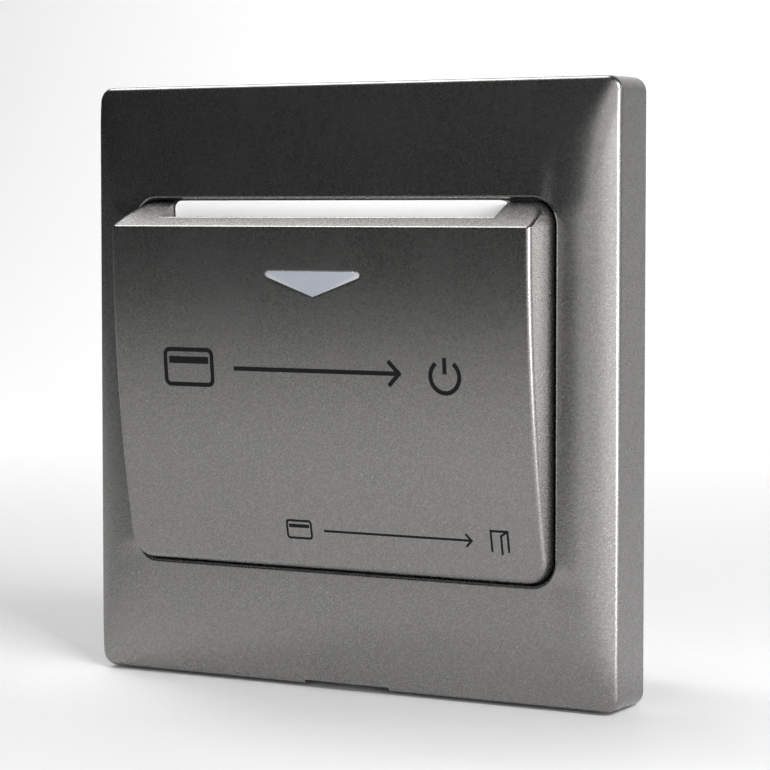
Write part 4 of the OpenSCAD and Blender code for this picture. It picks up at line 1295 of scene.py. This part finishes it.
# %% Camera
FOCAL_MM = 136.82
SENSOR_MM = 36.0
VIEW_FROM = Vector((0.217406, -0.360095, 0.025019))
VIEW_AT = Vector((0.003342, -0.002989, 0.000076))
camera_data = bpy.data.cameras.new("view")
camera_data.lens = FOCAL_MM
camera_data.sensor_width = SENSOR_MM
camera = bpy.data.objects.new("view", camera_data)
camera.location = VIEW_FROM
camera.rotation_euler = (VIEW_AT - VIEW_FROM).to_track_quat("-Z", "Y").to_euler()
bpy.context.scene.collection.objects.link(camera)
bpy.context.scene.camera = camera
print("camera stands", (VIEW_AT - VIEW_FROM).length, "m off")

# %% [markdown]
# ## Floor and backdrop
# A small product is shot on a sheet of paper that sweeps up behind it, so no line parts floor from wall.
# The floor could be a plain plane, but the sweep gives the soft change of tone behind the plate, and a
# painted shadow greys the paper round the plate's foot.
# It falls away a little in front, so that the plate stands on its rear edge and a thin shadow shows
# under its front.

# %% Paper sweep
FLOOR_Z = -PLATE_HALF * MM
FLOOR_FALL = 0.06
FLOOR_FRONT_Y = -0.45
WALL_Y = 0.75
BEND_R = 0.35
WALL_TOP_Z = 1.4
PAPER_X = (-1.4, 0.42)
PAPER_COLUMNS = 9
PAPER_ROWS = 24


def sweep_stage():
    """A floor line that bends up into a wall by a quarter circle, carried from left to right."""
    turn = np.radians(np.linspace(0, 90, PAPER_ROWS))
    bend_y = WALL_Y - BEND_R + BEND_R * np.sin(turn)
    bend_z = FLOOR_Z + BEND_R * (1 - np.cos(turn))
    front_y = np.linspace(FLOOR_FRONT_Y, 0.0, PAPER_ROWS)
    y = np.concatenate([front_y, bend_y, [WALL_Y]])
    z = np.concatenate([FLOOR_Z + FLOOR_FALL * front_y, bend_z, [WALL_TOP_Z]])
    x = np.linspace(*PAPER_X, PAPER_COLUMNS)[:, None]
    return np.stack(np.broadcast_arrays(x, y, z), axis=-1)


stage_points = sweep_stage()
stage_mesh = bpy.data.meshes.new("floor_and_backdrop")
stage_faces = grid_faces(*stage_points.shape[:2])
stage_mesh.from_pydata(stage_points.reshape(-1, 3).tolist(), [], stage_faces.tolist())
stage_mesh.polygons.foreach_set("use_smooth", np.ones(len(stage_mesh.polygons), dtype=bool))
stage = bpy.data.objects.new("floor_and_backdrop", stage_mesh)
bpy.context.scene.collection.objects.link(stage)
print("sweep", stage_points.shape)

# %% Paper finish
# The grey is a painted shadow round the plate's foot: the paper fades from it to white towards the
# backdrop and the near edge.
SHADOW_FADE_BACK_Y = (0.05, 0.45)
SHADOW_FADE_NEAR_Y = (-0.05, -0.14)
PAPER_CLOUDS = 3.0
PAPER_CLOUD_PART = 0.1
PAPER_ROUGH = 0.6
PAINTED_SHADOW_GREY = rgb(0.76, 0.76, 0.765)
PAPER_WHITE = rgb(0.94, 0.94, 0.94)


def ramp(value, start, end):
    """Soft step from 0 at the start to 1 at the end."""
    ends = {"Value": value, "From Min": start, "From Max": end}
    return value.node("ShaderNodeMapRange", {"interpolation_type": "SMOOTHSTEP"}, ends)


def paper_look(place):
    """Paper with a painted shadow at the plate's foot, which pales to the backdrop and to the near edge,
    in a slow cloud.
    """
    y = axes(place)[1]
    pale = ramp(y, *SHADOW_FADE_BACK_Y) + ramp(y, *SHADOW_FADE_NEAR_Y) + noise(place, PAPER_CLOUDS) * PAPER_CLOUD_PART
    return {"Base Color": blend(pale, PAINTED_SHADOW_GREY, PAPER_WHITE)}


stage_mesh.materials.append(finish("backdrop_paper", paper_look, Roughness=PAPER_ROUGH))

# %% [markdown]
# ## Light
# Metal flake paint shows what stands round it, so each lamp is a soft box that is placed where a
# surface mirrors it: strong ones at the right for the right band and the side, weak ones in front for
# the face, and high ones at the left for the brow. Azimuth and elevation round the plate say this more
# plainly than coordinates do. A narrow lamp reaches the white wall inside the slot, and three more tone
# the paper.

# %% Lamp helpers
ROOM_LIGHT = 0.02
LAMP_OFF = 1.0
PLATE_MIDDLE = (0.0, 0.0, 0.0)
world = bpy.data.worlds.new("room")
bpy.context.scene.world = world
world.use_nodes = True
background = world.node_tree.nodes["Background"]
background.inputs["Color"].default_value = rgb(1, 1, 1)
background.inputs["Strength"].default_value = ROOM_LIGHT
bpy.context.scene.view_settings.view_transform = "Standard"


def around(azimuth, elevation, distance=LAMP_OFF):
    """A place at a distance from the plate's middle: azimuth 0 is in front, and it grows to the right."""
    side, up = np.radians([azimuth, elevation])
    return distance * Vector((np.sin(side) * np.cos(up), -np.cos(side) * np.cos(up), np.sin(up)))


def softbox(name, place, size, power, aim=PLATE_MIDDLE):
    """A rectangular lamp at a place in metres, turned to face its aim."""
    lamp = bpy.data.lights.new(name, "AREA")
    lamp.shape = "RECTANGLE"
    lamp.size, lamp.size_y = size
    lamp.energy = power
    box = bpy.data.objects.new(name, lamp)
    box.location = place
    box.rotation_euler = (Vector(aim) - Vector(place)).to_track_quat("-Z", "Y").to_euler()
    bpy.context.scene.collection.objects.link(box)
    return box


print("room light", ROOM_LIGHT)

# %% Lamps
CARD_SLOT = (0.0, -0.013, 0.026)
SNOOT_SPREAD = np.radians(10.0)
SNOOT_OFF = 0.6
softbox("right_strip", around(62, 2), size=(0.32, 0.36), power=6.6)
softbox("right_soft", around(40, 6), size=(0.20, 0.50), power=0.75)
softbox("front_right", around(29, 6), size=(0.20, 0.50), power=0.6)
softbox("front_fill", around(12, 6), size=(0.35, 0.50), power=0.5)
softbox("front_high", around(8, 24), size=(0.50, 0.40), power=0.75)
softbox("right_side", around(92, 5), size=(0.40, 0.40), power=1.1)
softbox("right_back", around(122, 0), size=(0.40, 0.20), power=0.2)
softbox("brow_light", around(-112, 58), size=(0.35, 0.35), power=1.7)
softbox("left_high", around(-92, 62), size=(0.55, 0.55), power=3.0)
snoot = softbox("slot_snoot", around(45, 50, SNOOT_OFF), size=(0.02, 0.02), power=0.004, aim=CARD_SLOT)
snoot.data.spread = SNOOT_SPREAD
softbox("floor_front", (0.34, -0.16, 0.25), size=(0.20, 0.20), power=2.0, aim=(0.24, -0.14, FLOOR_Z))
softbox("floor_back", (0.75, 0.35, 0.35), size=(0.30, 0.30), power=0.75, aim=(0.28, 0.30, FLOOR_Z))
softbox("backdrop_wash", (-0.35, 0.20, 0.55), size=(0.40, 0.40), power=1.85, aim=(-0.35, WALL_Y, 0.15))
print("lamps", len(bpy.data.lights))

# %% [markdown]
